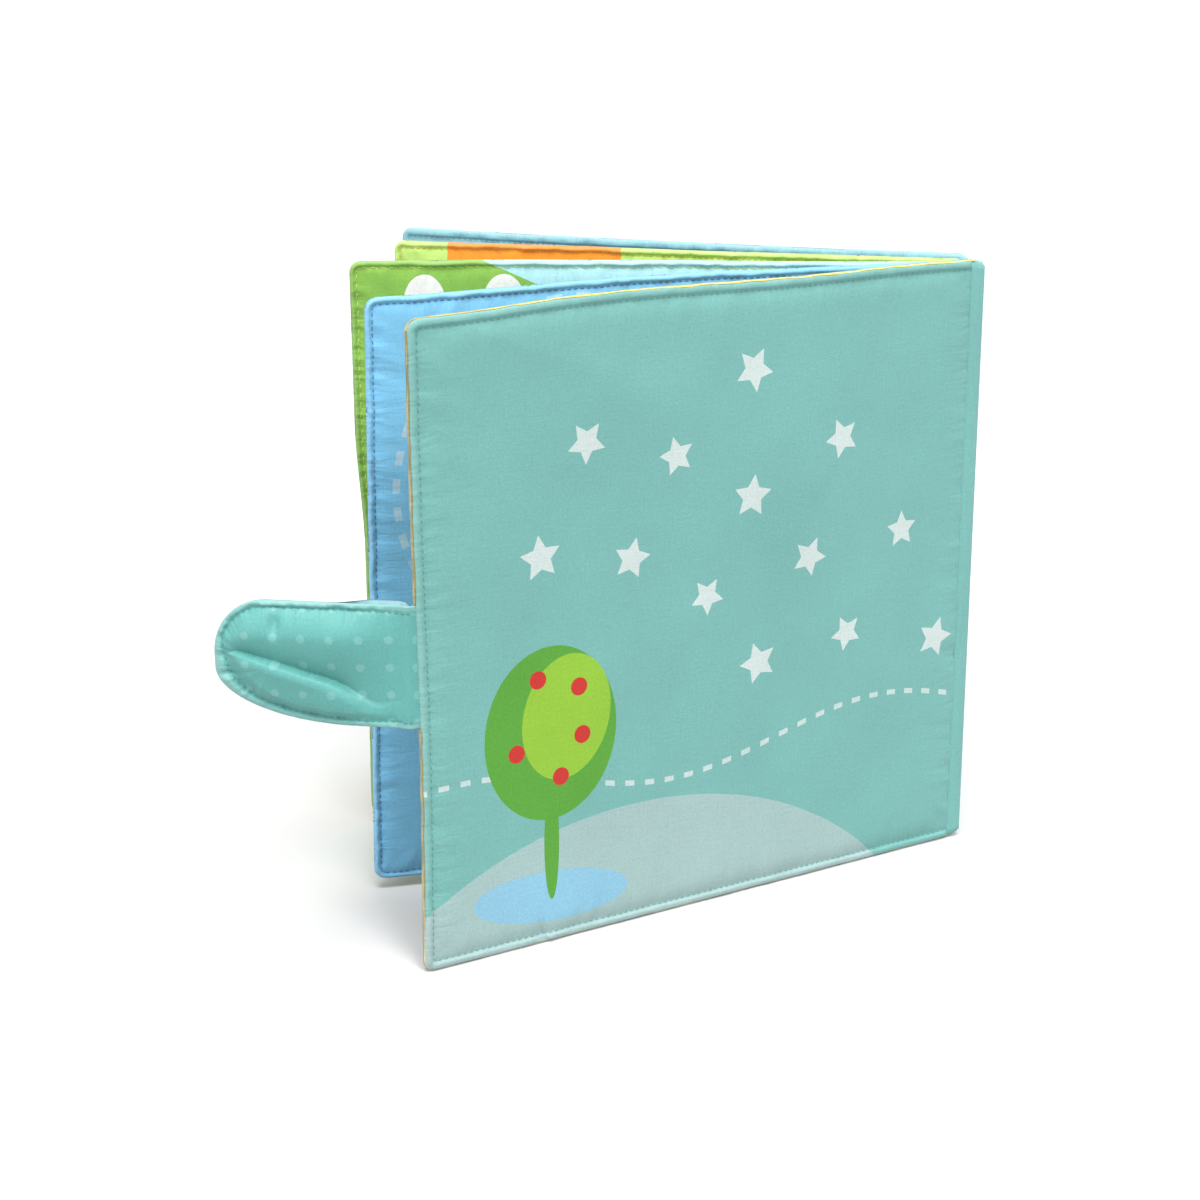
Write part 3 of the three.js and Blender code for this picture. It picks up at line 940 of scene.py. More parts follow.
def mesh_object(name, points, faces, material, uv=None, **fields):
    """A smooth closed mesh from points in metres, its faces turned outward. uv is its cloth plane in
    millimetres, and each field is a value at its points, such as inset, the distance from the edge,
    or round, the way along it."""
    mesh = bpy.data.meshes.new(name)
    mesh.from_pydata(np.asarray(points).tolist(), [], [list(map(int, face)) for face in faces])
    mesh.materials.append(materials[material])
    mesh.calc_loop_triangles()
    places = read(mesh.vertices, "co", 3)
    triangles = read(mesh.loop_triangles, "vertices", 3, int)
    a, b, c = (places - places.mean(0))[triangles].transpose(1, 0, 2)
    if np.einsum("ij,ij->", a, np.cross(b, c)) < 0:
        mesh.flip_normals()
    mesh.shade_smooth()
    if uv is not None:
        corners = read(mesh.loops, "vertex_index", 1, int).ravel()
        layer = mesh.uv_layers.new(name="cloth")
        layer.uv.foreach_set("vector", (np.asarray(uv)[corners] / Print.UV_MM).astype(np.float32).ravel())
    for title, values in fields.items():
        mesh.attributes.new(title, "FLOAT", "POINT").data.foreach_set("value", np.asarray(values, np.float32))
    return add_object(name, mesh)


def outline(width, height, corner, inset, share):
    """Points of a rounded rectangle drawn in by an inset, at shares of the way round it.
    It starts at the foot by the spine edge, and runs to the fore-edge, the head and back."""
    inset = np.broadcast_to(np.asarray(inset, float), share.shape)
    radius = np.maximum(corner - inset, LEAST_CORNER)
    arc = math.pi / 2 * corner
    runs = np.array([width - 2 * corner, arc, height - 2 * corner, arc] * 2)
    starts = np.concatenate(([0], np.cumsum(runs))) / runs.sum()
    part = np.clip(np.searchsorted(starts, share, side="right") - 1, 0, len(runs) - 1)
    along = (share - starts[part]) * runs.sum() / runs[part]
    quarter = part // 2
    turning = part % 2 == 1
    near = inset + radius
    centre_u = np.stack([width - near, width - near, near, near])
    centre_z = np.stack([near, height - near, height - near, near])
    here = np.arange(len(share))
    before = (quarter + 3) % 4
    moved = np.where(turning, 1, along)
    u = centre_u[before, here] * (1 - moved) + centre_u[quarter, here] * moved
    z = centre_z[before, here] * (1 - moved) + centre_z[quarter, here] * moved
    angle = (quarter - 1 + np.where(turning, along, 0)) * math.pi / 2
    return u + radius * np.cos(angle), z + radius * np.sin(angle)


def ring_faces(counts, first):
    """Faces between rings of points, each inside the one before, and from the last ring to a middle point.
    A ring has as many points as the one before it, or half as many."""
    faces = []
    for outer, inner in zip(counts, counts[1:]):
        second = first + outer
        step = outer // inner
        for k in range(inner):
            a = first + step * k
            b = first + (step * k + step) % outer
            c = second + (k + 1) % inner
            d = second + k
            faces += [(a, b, c, d)] if step == 1 else [(a, a + 1, d), (a + 1, c, d), (a + 1, b, c)]
        first = second
    last = counts[-1]
    return faces + [(first + k, first + (k + 1) % last, first + last) for k in range(last)]


class RingSheet:
    """Rings of points over a rounded rectangle, with the share of the way round and the inset of each."""

    def __init__(self, width, height, corner, rings, points):
        side = min(width, height)
        rows = [(points >> row, ring) for row, insets in enumerate(rings) for ring in insets]
        kept = [(count, ring) for count, ring in rows if 2 * ring < side - 2]
        self.counts = [count for count, ring in kept]
        self.share = np.append(np.concatenate([np.arange(count) / count for count in self.counts]), 0)
        insets = [np.full(count, float(ring)) for count, ring in kept]
        self.inset = np.append(np.concatenate(insets), side / 2)
        self.u, self.z = outline(width, height, corner, self.inset, self.share)
        self.u[-1] = width / 2
        self.z[-1] = height / 2
        self.plane = np.stack([self.u, self.z], 1)


def closed_rings(outer, inner):
    """Faces of the solid between two ring sheets with the same first ring, the outer sheet's points first."""
    size = len(outer.u)
    rim = outer.counts[0]
    wall = [(k, size + k, size + (k + 1) % rim, (k + 1) % rim) for k in range(rim)]
    return ring_faces(outer.counts, 0) + [face[::-1] for face in ring_faces(inner.counts, size)] + wall


def closed_grid(rows, columns):
    """Faces of the solid between two grids of points, the outer grid's points first."""
    size = rows * columns
    faces = []
    for row in range(rows - 1):
        for a in range(row * columns, row * columns + columns - 1):
            face = (a, a + columns, a + columns + 1, a + 1)
            faces += [face, tuple(size + k for k in face[::-1])]
    rim = list(range(0, size, columns))
    rim += range(size - columns + 1, size)
    rim += range(size - columns - 1, 0, -columns)
    rim += range(columns - 2, 0, -1)
    return faces + [(here, size + here, size + after, after) for here, after in zip(rim, rim[1:] + rim[:1])]


def tube_faces(tubes, rings, sides):
    """Faces of closed tubes, each of so many rings of points."""
    faces = []
    for base in range(0, tubes * rings * sides, rings * sides):
        last = base + (rings - 1) * sides
        for here in range(base, last, sides):
            for k in range(sides):
                after = (k + 1) % sides
                faces.append((here + k, here + after, here + sides + after, here + sides + k))
        faces += [tuple(range(base, base + sides))[::-1], tuple(range(last, last + sides))]
    return faces


def stitch_row(name, line, run, material, closed=True, pitch=STITCH_PITCH, length=STITCH_LENGTH, slant=0):
    """A row of stitches along line(distance, aside, lift), which gives points in metres, over a run of it.
    slant is how far each stitch crosses the line from its start to its end."""
    count = max(2, round(run / pitch))
    pitch = run / count
    along, lift, thick = np.array(STITCH_FORM).T[:, None, :, None]
    turn = np.arange(STITCH_SIDES) * 2 * math.pi / STITCH_SIDES
    start = (np.arange(count if closed else count - 1) * pitch + (pitch - length) / 2)[:, None, None]
    distance = start + along * length + 0 * turn
    aside = THREAD * thick * np.cos(turn) + 0 * start + slant * (along - 0.5)
    rise = lift + THREAD * thick * np.sin(turn) + 0 * start
    points = line(distance.ravel(), aside.ravel(), rise.ravel())
    return mesh_object(name, points, tube_faces(len(start), len(STITCH_FORM), STITCH_SIDES), material)


# Panels


class Board:
    """A flat frame in the scene: along it, to its far side and up, from an origin in millimetres."""

    def __init__(self, origin, along):
        self.origin = np.array([origin[0], origin[1], 0])
        self.along = along
        self.far = np.array([along[1], -along[0], 0])

    def place(self, u, rise, z):
        points = self.origin + np.outer(u, self.along) + np.outer(rise, self.far)
        points[:, 2] += z
        return points * MM

    def locate(self, point):
        offset = np.array(point) / MM - self.origin
        return offset @ self.along, offset @ self.far, offset[2]


class Panel(Board):
    """A cover or leaf at rest: where it lies, how large it is, and how its cloth strays from its plane.
    stray gives how far a point has moved towards the fore-edge, to the far side and up."""

    def __init__(self, name, face, stitch_inset, stray, strap_heights=None, pleat=None):
        self.name = name
        self.pleat = pleat
        self.strap_heights = strap_heights
        self.stray = stray
        self.stitch_inset = stitch_inset
        spine = middle(f"{name}_spine_strip") / MM
        pad = middle(f"{name}_wadding") / MM
        low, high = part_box(f"{name}_{face}")
        self.foot = low.z / MM
        self.height = (high.z - low.z) / MM
        run = Vector((pad.x - spine.x, pad.y - spine.y, 0))
        self.width = 2 * (run.length - PANEL_START)
        super().__init__(spine, np.array(run.normalized()))

    def place(self, u, rise, z):
        """Points in metres at u from the spine edge, z from the foot and a rise towards the far side."""
        onward, out, up = self.stray(u / self.width, z / self.height)
        return super().place(PANEL_START + u + onward, rise + out, self.foot + z + up)

    def locate(self, point):
        """u, rise and z of a point in metres, on the panel before it strays."""
        u, rise, z = super().locate(point)
        return u - PANEL_START, rise, z - self.foot

    def profile(self, inset):
        """Height of the cloth over the panel's middle."""
        heights = (ROLL_HEIGHT, STITCH_HEIGHT, FIELD_HEIGHT)
        sewn = sewn_profile(inset, self.stitch_inset, GROOVE_RUN, FIELD_RUN, *heights)
        return sewn + (CROWN_HEIGHT - FIELD_HEIGHT) * ramp(inset, FIELD_RUN, CROWN_INSET)

    def field_inset(self, u, z, inset):
        """Distance from the edge for the panel's height: further in, its lines have round corners."""
        aside = np.maximum(0, FIELD_CORNER - np.minimum(u, self.width - u))
        below = np.maximum(0, FIELD_CORNER - np.minimum(z, self.height - z))
        rounded = FIELD_CORNER - np.hypot(aside, below)
        ending = ramp(inset, FIELD_CORNER - FIELD_CORNER_END, FIELD_CORNER)
        share = ramp(inset, *FIELD_CORNER_INSETS) * (1 - ending)
        return inset * (1 - share) + rounded * share


class Face:
    """One cloth face of a panel. side is +1 on the far side and -1 on the near side, crumple is how strongly
    the stitching draws it, and lip is how far it reaches round the rim, or stops short of it where negative.
    turned says that the cover's turn into the spine lies over it."""

    def __init__(self, panel, side, crumple, lip, turned):
        self.panel = panel
        self.turned = turned
        self.side = side
        self.crumple = crumple
        self.lip = lip
        self.edge_length = 2 * (panel.width + panel.height)
        self.perimeter = self.edge_length - 8 * panel.stitch_inset
        pitches = (EDGE_WAVE_PITCH, TIGHT_PITCH, LOOSE_PITCH, UNEVEN_PITCH, PINCH_PITCH)
        noises = [ring_noise(self.perimeter / pitch) for pitch in pitches]
        self.wave, self.tight, self.loose, self.uneven, self.pull = noises
        self.swell = plane_noise(SWELL_CELL)

    def rise(self, u, z, inset, share):
        """Height of the cloth over the panel's middle, with what the stitching and wear have done to it."""
        stitch_inset = self.panel.stitch_inset
        within = np.maximum(inset - stitch_inset, 0)
        drawn = PINCH * (LEAST_PINCH + (1 - LEAST_PINCH) * self.crumple)
        pinch = drawn * self.pull(share) * on_roll(inset, stitch_inset)
        way, clear = self.edge_way(u, z)
        strength = self.crumple * (PUCKER_STRENGTH + PUCKER_VARIES * self.uneven(share)) * clear
        skewed = (way + PUCKER_SKEW * within) / self.edge_length
        rising = ramp(inset, 0, stitch_inset + PUCKER_RISE)
        tight = TIGHT_HEIGHT * self.tight(skewed) * fading(within, TIGHT_REACH) * rising
        loose = LOOSE_HEIGHT * self.loose(skewed) * fading(within, LOOSE_REACH) * rising
        swell = SWELL_DEPTH * self.swell(u + SWELL_START, z + SWELL_START) * ramp(inset, *SWELL_INSETS)
        sewn = self.panel.profile(self.panel.field_inset(u, z, inset))
        height = sewn - pinch + strength * (tight + loose) - swell
        if self.panel.pleat is not None and self.turned:
            past = u - self.panel.pleat - PLEAT_SLANT * z
            furrow = PLEAT_FURROW_DEPTH * hump(past, *PLEAT_FURROW)
            fold = PLEAT_HEIGHT * (hump(past, 0, PLEAT_RIDGE_HALF) - furrow)
            height = height + fold * hump(z, 0, PLEAT_REACH) * ramp(inset, *PLEAT_INSETS)
        if self.turned:
            height = np.minimum(height, TURN_CAP + FIELD_HEIGHT * ramp(u, *TURN_CAP_RUN))
        return np.maximum(height, SEAM_HEIGHT)

    def edge_way(self, u, z):
        """Way round along the nearest edge, and how clear of the corners a point is, from 0 to 1."""
        width, height = self.panel.width, self.panel.height
        distances = np.stack([z, width - u, height - z, u])
        ways = np.stack([u, width + z, 2 * width + height - u, self.edge_length - z])
        order = np.argsort(distances, axis=0)
        here = np.arange(len(u))
        spare = distances[order[1], here] - distances[order[0], here]
        return ways[order[0], here], ramp(spare, 0, CORNER_CLEAR)

    def gather(self, inset, clear):
        """How strongly fine wrinkles show: most along the stitching, less on the rim and further in."""
        stitch_inset = self.panel.stitch_inset
        on_rim = RIM_GATHER + (1 - RIM_GATHER) * ramp(inset, stitch_inset / 2, stitch_inset)
        return clear * on_rim * fading(inset - stitch_inset, GATHER_REACH)

    def drawn_in(self, depth, aside, share):
        """u and z of points at a depth from the edge and aside of it, with the edge's waves."""
        wave = EDGE_WAVE * (0.5 + 0.5 * self.wave(share)) * fading(depth, EDGE_WAVE_REACH) * self.crumple
        return outline(self.panel.width, self.panel.height, CORNER, depth + aside + wave, share)

    def place(self, inset, share):
        """Points of the cloth in metres, with u and z. A negative inset lies past the rim."""
        past = inset < 0
        depth = np.where(past, -inset * self.shown(share), inset)
        u, z = self.drawn_in(depth, 0, share)
        rise = self.rise(u, z, depth, share)
        return self.panel.place(u, self.side * np.where(past, -rise - LIP_SINK, rise), z), u, z

    def stitch_line(self, distance, aside, lift):
        share = np.mod(distance / self.perimeter, 1)
        depth = np.full(len(share), self.panel.stitch_inset)
        u, z = self.drawn_in(depth, aside, share)
        return self.panel.place(u, self.side * (self.rise(u, z, depth, share) + lift), z)

    def cloth(self, name, material):
        size = (self.panel.width, self.panel.height, CORNER)
        outer = RingSheet(*size, self.rings(), EDGE_POINTS)
        inner = RingSheet(*size, INNER_RINGS, EDGE_POINTS)
        top, u, z = self.place(outer.inset, outer.share)
        crown = np.array([CROWN_HEIGHT - SWELL_DEPTH / 2])
        top[-1] = self.panel.place(outer.u[-1:], self.side * crown, outer.z[-1:])
        u[-1] = outer.u[-1]
        z[-1] = outer.z[-1]
        under = np.maximum(self.panel.profile(inner.inset) - CLOTH - SWELL_DEPTH, SEAM_HEIGHT / 4)
        points = np.concatenate([top, self.panel.place(inner.u, self.side * under, inner.z)])
        plane = np.concatenate([np.stack([u, z], 1), inner.plane])
        inset = np.concatenate([np.abs(outer.inset), inner.inset])
        way, clear = self.edge_way(plane[:, 0], plane[:, 1])
        fields = {"inset": inset, "round": way, "gather": self.gather(inset, clear)}
        return mesh_object(name, points, closed_rings(outer, inner), material, plane, **fields)

    def shown(self, share):
        """Share of the lip that shows: none of it where a strap is sewn in over it."""
        if self.panel.strap_heights is None:
            return np.ones(len(share))
        width, height = self.panel.width, self.panel.height
        ragged = LIP_SHOWN + LIP_RAGGED * self.loose(share)
        u, z = outline(width, height, CORNER, 0, share)
        low, high = self.panel.strap_heights
        under_strap = ramp(z, low - LIP_FADE, low) * (1 - ramp(z, high, high + LIP_FADE))
        covered = (u > width - CORNER) * under_strap
        at_head = ramp(z, height - HEAD_LIP_BAND[0], height - HEAD_LIP_BAND[1])
        at_corner = ramp(u / width, *HEAD_LIP_TURN)
        along_head = HEAD_LIP_GAIN * (1 - at_corner) - HEAD_LIP_CUT * at_corner
        return ragged * (1 - covered) * (1 + along_head * at_head)

    def rings(self):
        """The rings of the cloth from its seam on."""
        first, *rest = OUTER_RINGS
        if self.lip > 0:
            first = (*(share * self.lip for share in LIP_RINGS), *first)
        elif self.lip < 0:
            first = (-self.lip, *(ring for ring in first if ring > LEAST_RING_GAP - self.lip))
        return (first, *rest)


def wadding(panel):
    """The pad between the two cloths of a panel, inside its stitching."""
    sheet = RingSheet(panel.width, panel.height, CORNER, WADDING_RINGS, WADDING_POINTS)
    rise = np.maximum(panel.profile(sheet.inset) - CLOTH - SWELL_DEPTH - WADDING_GAP, WADDING_LEAST)
    points = np.concatenate([panel.place(sheet.u, side * rise, sheet.z) for side in (-1, 1)])
    return mesh_object(f"{panel.name}_padding", points, closed_rings(sheet, sheet), "wadding")


def dress_panel(panel, crumple, near, far, lip=0):
    """Cloth, stitching and wadding of a panel. near and far give a face's node, material, thread and slot.
    The far cloth reaches round the rim by the lip."""
    pad = wadding(panel)
    settle(pad, panel.name, f"{panel.name}_wadding", "wadding")
    for side, (part, material, thread, slot) in ((-1, near), (1, far)):
        face = Face(panel, side, crumple, side * lip, material == "cover")
        cloth = face.cloth(f"{panel.name}_{part}_sewn", material)
        settle(cloth, panel.name, f"{panel.name}_{part}", slot)
        chain = CHAIN if thread == "green_thread" else {}
        rows = stitch_row(f"{panel.name}_{part}_stitching", face.stitch_line, face.perimeter, thread, **chain)
        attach(rows, panel.name)


def soft_line(*points, margin=0.2, samples=141, blur=7):
    """A smooth line through places from 0 to 1 and their heights, and on past them by a margin."""
    place = np.linspace(-margin, 1 + margin, samples)
    height = np.interp(place, *zip(*points))
    weight = hump(np.linspace(-2, 2, 2 * blur + 1), 0, 1)
    height = np.convolve(np.pad(height, blur, mode="edge"), weight / weight.sum(), "valid")
    return lambda share: np.interp(share, place, height)


# How far the head of each panel's cloth stands over a straight line, from the spine to the fore-edge
back_cover_head = soft_line(
    (0, 0.6), (0.13, 1.2), (0.25, 1.1), (0.36, 1.1), (0.47, 1.6),
    (0.6, 2.2), (0.7, 2.3), (0.8, 1.9), (0.91, 0.7), (1, 0),
)
leaf_1_head = soft_line((0, 2.6), (0.33, 2.4), (0.53, 2.1), (0.74, 0.7), (0.9, -0.5), (1, -0.9))
leaf_2_head = soft_line((0, 1.6), (0.25, 1.5), (0.5, 1.9), (0.75, 2.1), (1, 1.7))
leaf_3_head = soft_line((0, 1.6), (0.24, 1.4), (0.46, 1.0), (0.68, 1.1), (0.89, 0.7), (1, 0.8))
front_cover_head = soft_line((0, -0.4), (0.24, -0.9), (0.46, -1.0), (0.69, -1.1), (0.91, -0.8), (1, -0.6))

# Slanting bend of the back cover, from and to shares of its width and height, and its reach below and above
BEND_START = (0.9, 0.975)
BEND_END = (0.28, 0.685)
BEND_HEIGHT = 2.7
BEND_REACH = (0.2, 0.4)
BEND_FROM = (0.05, 0.4)
BEND_TO = (0.85, 1)

# Pull of the strap on the back cover's fore-edge, and lean of the leaves' fore-edges, by shares of the height
STRAP_PULL = (0.32, 0.28)
STRAP_PULL_RUN = (0.6, 1)
LEAN_RUN = (0.4, 1)
LEAF_1_FOOT = 1.4
LEAF_1_LEAN = 2.6
LEAF_2_LEAN = 0.5
LEAF_2_HEAD = 1.9
LEAF_2_HEAD_BAND = (0.5, 0.72)
LEAF_2_FOOT = 0.7
LEAF_2_FOOT_BAND = (0.05, 0.35)
LEAF_3_RUN = (0.5, 1)

# How each panel's cloth strays from a flat rectangle, in millimetres, from shares of its width and height


def back_cover_stray(across, up):
    """The cloth stands proud along a slanting bend, and the fore-edge is drawn in under the strap."""
    start, start_up = BEND_START
    end, end_up = BEND_END
    above = up - (start_up + (across - start) * (end_up - start_up) / (end - start))
    bend = BEND_HEIGHT * np.exp(-np.abs(above) / np.where(above < 0, *BEND_REACH)) * ramp(across, *BEND_FROM)
    inward = hump(up, *STRAP_PULL) * ramp(across, *STRAP_PULL_RUN)
    return -inward, -bend * (1 - ramp(across, *BEND_TO)), back_cover_head(across) * np.clip(up, 0, 1) ** 2


def leaf_1_stray(across, up):
    lean = (LEAF_1_FOOT - LEAF_1_LEAN * up) * ramp(across, *LEAN_RUN)
    return lean, 0 * up, up * leaf_1_head(across)


def leaf_2_stray(across, up):
    at_head = LEAF_2_HEAD * ramp(up, *LEAF_2_HEAD_BAND)
    lean = LEAF_2_LEAN + at_head + LEAF_2_FOOT * (1 - ramp(up, *LEAF_2_FOOT_BAND))
    return lean * ramp(across, *LEAN_RUN), 0 * up, up * leaf_2_head(across)


def leaf_3_stray(across, up):
    return ramp(across, *LEAF_3_RUN), 0 * up, up * leaf_3_head(across)


def front_cover_stray(across, up):
    return 0 * up, 0 * up, up * front_cover_head(across)


strap_middle = middle("strap_base_lining").z / MM - STRAP_DROP
STRAP_HEIGHTS = (strap_middle - STRAP_WIDTH / 2, strap_middle + STRAP_WIDTH / 2)
leaf_2 = Panel("leaf_2", "near_cloth", LEAF_STITCH_INSET, leaf_2_stray)
leaf_1 = Panel("leaf_1", "near_cloth", LEAF_STITCH_INSET, leaf_1_stray)
leaf_3 = Panel("leaf_3", "near_cloth", LEAF_STITCH_INSET, leaf_3_stray)
back_cover = Panel("back_cover", "lining", COVER_STITCH_INSET, back_cover_stray, STRAP_HEIGHTS, PLEAT_AT)
front_cover = Panel("front_cover", "lining", COVER_STITCH_INSET, front_cover_stray)
panels = {panel.name: panel for panel in (leaf_2, leaf_1, leaf_3, back_cover, front_cover)}
OUTER_CLOTH = ("outer_cloth", "cover", "teal_thread", "cover_cloth")
LINING = ("lining", "yellow", "cream_thread", "lining_cloth")
dress_panel(
    leaf_2, 1.0,
    ("near_cloth", "green", "green_thread", "green_page"),
    ("far_cloth", "striped", "green_thread", "lime_page"),
)
dress_panel(
    leaf_1, 0.8,
    ("near_cloth", "blue", "blue_thread", "blue_page"),
    ("far_cloth", "sky", "blue_thread", "sky_page"),
)
dress_panel(
    leaf_3, 0.9,
    ("near_cloth", "lime", "lime_thread", "lime_page"),
    ("far_cloth", "sky", "cream_thread", "sky_page"),
)
dress_panel(back_cover, 0.35, OUTER_CLOTH, LINING, lip=LINING_LIP)
dress_panel(front_cover, 0.7, ("lining", "sky", "sky_thread", "sky_page"), OUTER_CLOTH)


# Photo pockets


class Plate:
    """A flat piece on the far face of a panel, as long and high as its node in the frame."""

    def __init__(self, panel, node, corner):
        placed = np.array([panel.locate(vertex.co) for vertex in frame["nodes"][node].data.vertices])
        self.panel = panel
        self.corner = corner
        self.start = placed.min(0)
        self.width, self.thick, self.height = placed.max(0) - self.start

    def place(self, u, rise, z):
        return self.panel.place(self.start[0] + u, self.start[1] + rise, self.start[2] + z)

    def piece(self, name, material, top, bottom):
        """A closed piece between two heights, each a function of u, z and the distance from the edge."""
        sheet = RingSheet(self.width, self.height, self.corner, PLATE_RINGS, PLATE_POINTS)
        heights = [height(sheet.u, sheet.z, sheet.inset) for height in (top, bottom)]
        points = np.concatenate([self.place(sheet.u, height, sheet.z) for height in heights])
        plane = np.tile(sheet.plane, (2, 1))
        faces = closed_rings(sheet, sheet)
        return mesh_object(name, points, faces, material, plane, inset=np.tile(sheet.inset, 2))

    def tape(self, name, material, thick, edge_round):
        """A flat tape with rounded edges."""
        def top(u, z, inset):
            return thick * np.sqrt(np.clip(inset / edge_round, TAPE_LEAST, 1))

        return self.piece(name, material, top, lambda u, z, inset: 0 * u)

    def seam(self, name, inset, height, thread):
        """A row of stitches round the plate."""
        run = 2 * (self.width + self.height)

        def line(distance, aside, lift):
            u, z = outline(self.width, self.height, self.corner, inset + aside, np.mod(distance / run, 1))
            return self.place(u, height + lift, z)

        return stitch_row(name, line, run, thread)


def dress_pocket(panel, tape, thread, tape_slot):
    """Clear film, sewn down on three sides, with a cloth tape along its mouth."""
    name = panel.name
    film = Plate(panel, f"{name}_pocket_film", POCKET_CORNER)
    ripple = plane_noise(FILM_RIPPLE_CELL)

    def film_top(u, z, inset):
        return FILM * ramp(inset, *FILM_EDGE) + FILM_RIPPLE * ripple(u, z) * ramp(inset, *FILM_RIPPLE_INSETS)

    def film_under(u, z, inset):
        return film_top(u, z, inset) - FILM_THICK

    clear = film.piece(f"{name}_clear_film", "film", film_top, film_under)
    settle(clear, name, f"{name}_pocket_film", "pocket_film")
    seam = film.seam(f"{name}_film_stitching", POCKET_STITCH_INSET, FILM, thread)
    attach(seam, name)
    binding = Plate(panel, f"{name}_pocket_binding", LEAST_CORNER)
    domed = binding.tape(f"{name}_pocket_tape", tape, binding.thick, TAPE_ROUND)
    settle(domed, name, f"{name}_pocket_binding", tape_slot)
    hem_height = binding.thick - TAPE_STITCH_SINK
    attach(binding.seam(f"{name}_tape_stitching", TAPE_STITCH_INSET, hem_height, thread), name)


dress_pocket(leaf_2, "plain_green", "green_thread", "green_page")
dress_pocket(leaf_1, "plain_blue", "blue_thread", "blue_page")
dress_pocket(leaf_3, "plain_lime", "cream_thread", "lime_page")
dress_pocket(back_cover, "teal", "cream_thread", "cover_cloth")


# Spine: a cloth that runs curved from each panel's strip to the next, and turns in at the two covers

strip_low, strip_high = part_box("leaf_2_spine_strip")
SPINE_HEIGHT = (strip_high.z - strip_low.z) / MM
joint_places = {joint["name"]: np.array(joint["pos_m"]) / MM for joint in frame["joints"]}
SPINE_PITCH = np.linalg.norm(joint_places["leaf_1_turn"] - joint_places["leaf_3_turn"])
row_share = np.linspace(0, 1, SPINE_ROWS)
bunched = 0.5 - 0.5 * np.cos(math.pi * row_share)
SPINE_HEIGHTS = SPINE_HEIGHT * bunched * SPINE_BUNCH + SPINE_HEIGHT * row_share * (1 - SPINE_BUNCH)


def on_strip(name, out, across, z):
    """Points in millimetres by a panel's spine strip: out of it, across it to the far side, and up."""
    panel = panels[name]
    points = panel.origin - np.outer(out, panel.along) + np.outer(across, panel.far)
    points[:, 2] = z
    return points


def spine_skin(across, z):
    """Outer height of the spine cloth: a stitched groove at each strip's middle and hems at foot and head."""
    groove = SPINE_GROOVE * hump(across, 0, SPINE_GROOVE_HALF)
    edge = np.minimum(z, SPINE_HEIGHT - z) - SPINE_TRIM
    hem = SPINE_HEM_HEIGHT * np.sqrt(np.clip(1 - ((edge - SPINE_HEM / 2) / (SPINE_HEM / 2)) ** 2, 0, 1))
    end = np.clip(1 - edge / SPINE_END_RUN, 0, 1) ** 2 * SPINE_END_DEPTH
    return SPINE_HALF - groove + hem * (edge < SPINE_HEM) - end


def spine_piece(name, points, columns, flat, z):
    """A piece of spine cloth from its outer and inner points in millimetres, with its own plane."""
    plane = np.tile(np.stack([flat, z], 1), (2, 1))
    inset = np.full(len(plane), PLAIN_INSET)
    points = np.concatenate(points) * MM
    return mesh_object(name, points, closed_grid(SPINE_ROWS, columns), "teal", plane, inset=inset)


def spine_fold(first, second):
    """The fold of the spine between two neighbouring panels, from the middle of one strip to the next."""
    rows = SPINE_TRIM + SPINE_HEIGHTS * (1 - 2 * SPINE_TRIM / SPINE_HEIGHT)
    z, share = grid(rows, np.linspace(0, 1, SPINE_COLUMNS))
    flat = share * SPINE_PITCH
    weight = smooth(share)[:, None]

    def layer(out):
        near = on_strip(first, out, flat, z)
        far = on_strip(second, out, flat - SPINE_PITCH, z)
        return near * (1 - weight) + far * weight

    skin = spine_skin(np.minimum(flat, SPINE_PITCH - flat), z)
    layers = [layer(skin), layer(np.full(len(z), -SPINE_HALF))]
    fold = spine_piece(f"spine_fold_{first}_{second}", layers, SPINE_COLUMNS, flat + FOLD_PLANE, z)
    start, end = (on_strip(name, [SPINE_HALF], [0], [0])[0] * MM for name in (first, second))
    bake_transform(fold)
    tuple(start)
    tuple(end)
    stand_for(f"{second}_spine_strip" if second.startswith("leaf") else None, "cover_cloth")


def spine_end(name, side, head_drop):
    """The cover's cloth where it turns into the spine. side is towards the outside of the cover, and
    head_drop is how far its head and foot lie inside those of the spine."""
    panel = panels[name]
    section = spline(TURN_SECTION, TURN_COLUMNS)
    tangent = np.gradient(section, axis=0)
    normal = unit(np.stack([-tangent[:, 1], tangent[:, 0]], 1))
    rows = SPINE_HEIGHTS
    edge = np.minimum(rows, SPINE_HEIGHT - rows)
    full = np.sqrt(np.clip(eased(edge / HEAD_ROUND), HEAD_LEAST, 1))[:, None]

    def layer(line):
        out = line[None, :, 0] - (1 - full) * HEAD_SINK * ramp(line[None, :, 0], *HEAD_SINK_BAND)
        across = side * line[None, :, 1] * full
        z = np.repeat(rows[:, None], TURN_COLUMNS, 1)
        z = z + (0.5 - z / SPINE_HEIGHT) * 2 * head_drop * ramp(line[None, :, 0], *HEAD_DROP_BAND)
        u = np.maximum(-PANEL_START - out, 0)
        points = on_strip(name, out.ravel(), across.ravel(), z.ravel())
        onward, stray, up = panel.stray(u.ravel() / panel.width, z.ravel() / SPINE_HEIGHT)
        points[:, 2] += up
        return points + np.outer(onward, panel.along) + np.outer(stray, panel.far)

    run = np.concatenate([[0], np.cumsum(np.linalg.norm(np.diff(section, axis=0), axis=1))])
    z, along = grid(rows, run)
    layers = [layer(section), layer(section + normal * TURN_CLOTH)]
    end = spine_piece(f"spine_end_{name}", layers, TURN_COLUMNS, along + TURN_PLANE, z)
    settle(end, name, f"{name}_spine_strip", "cover_cloth")


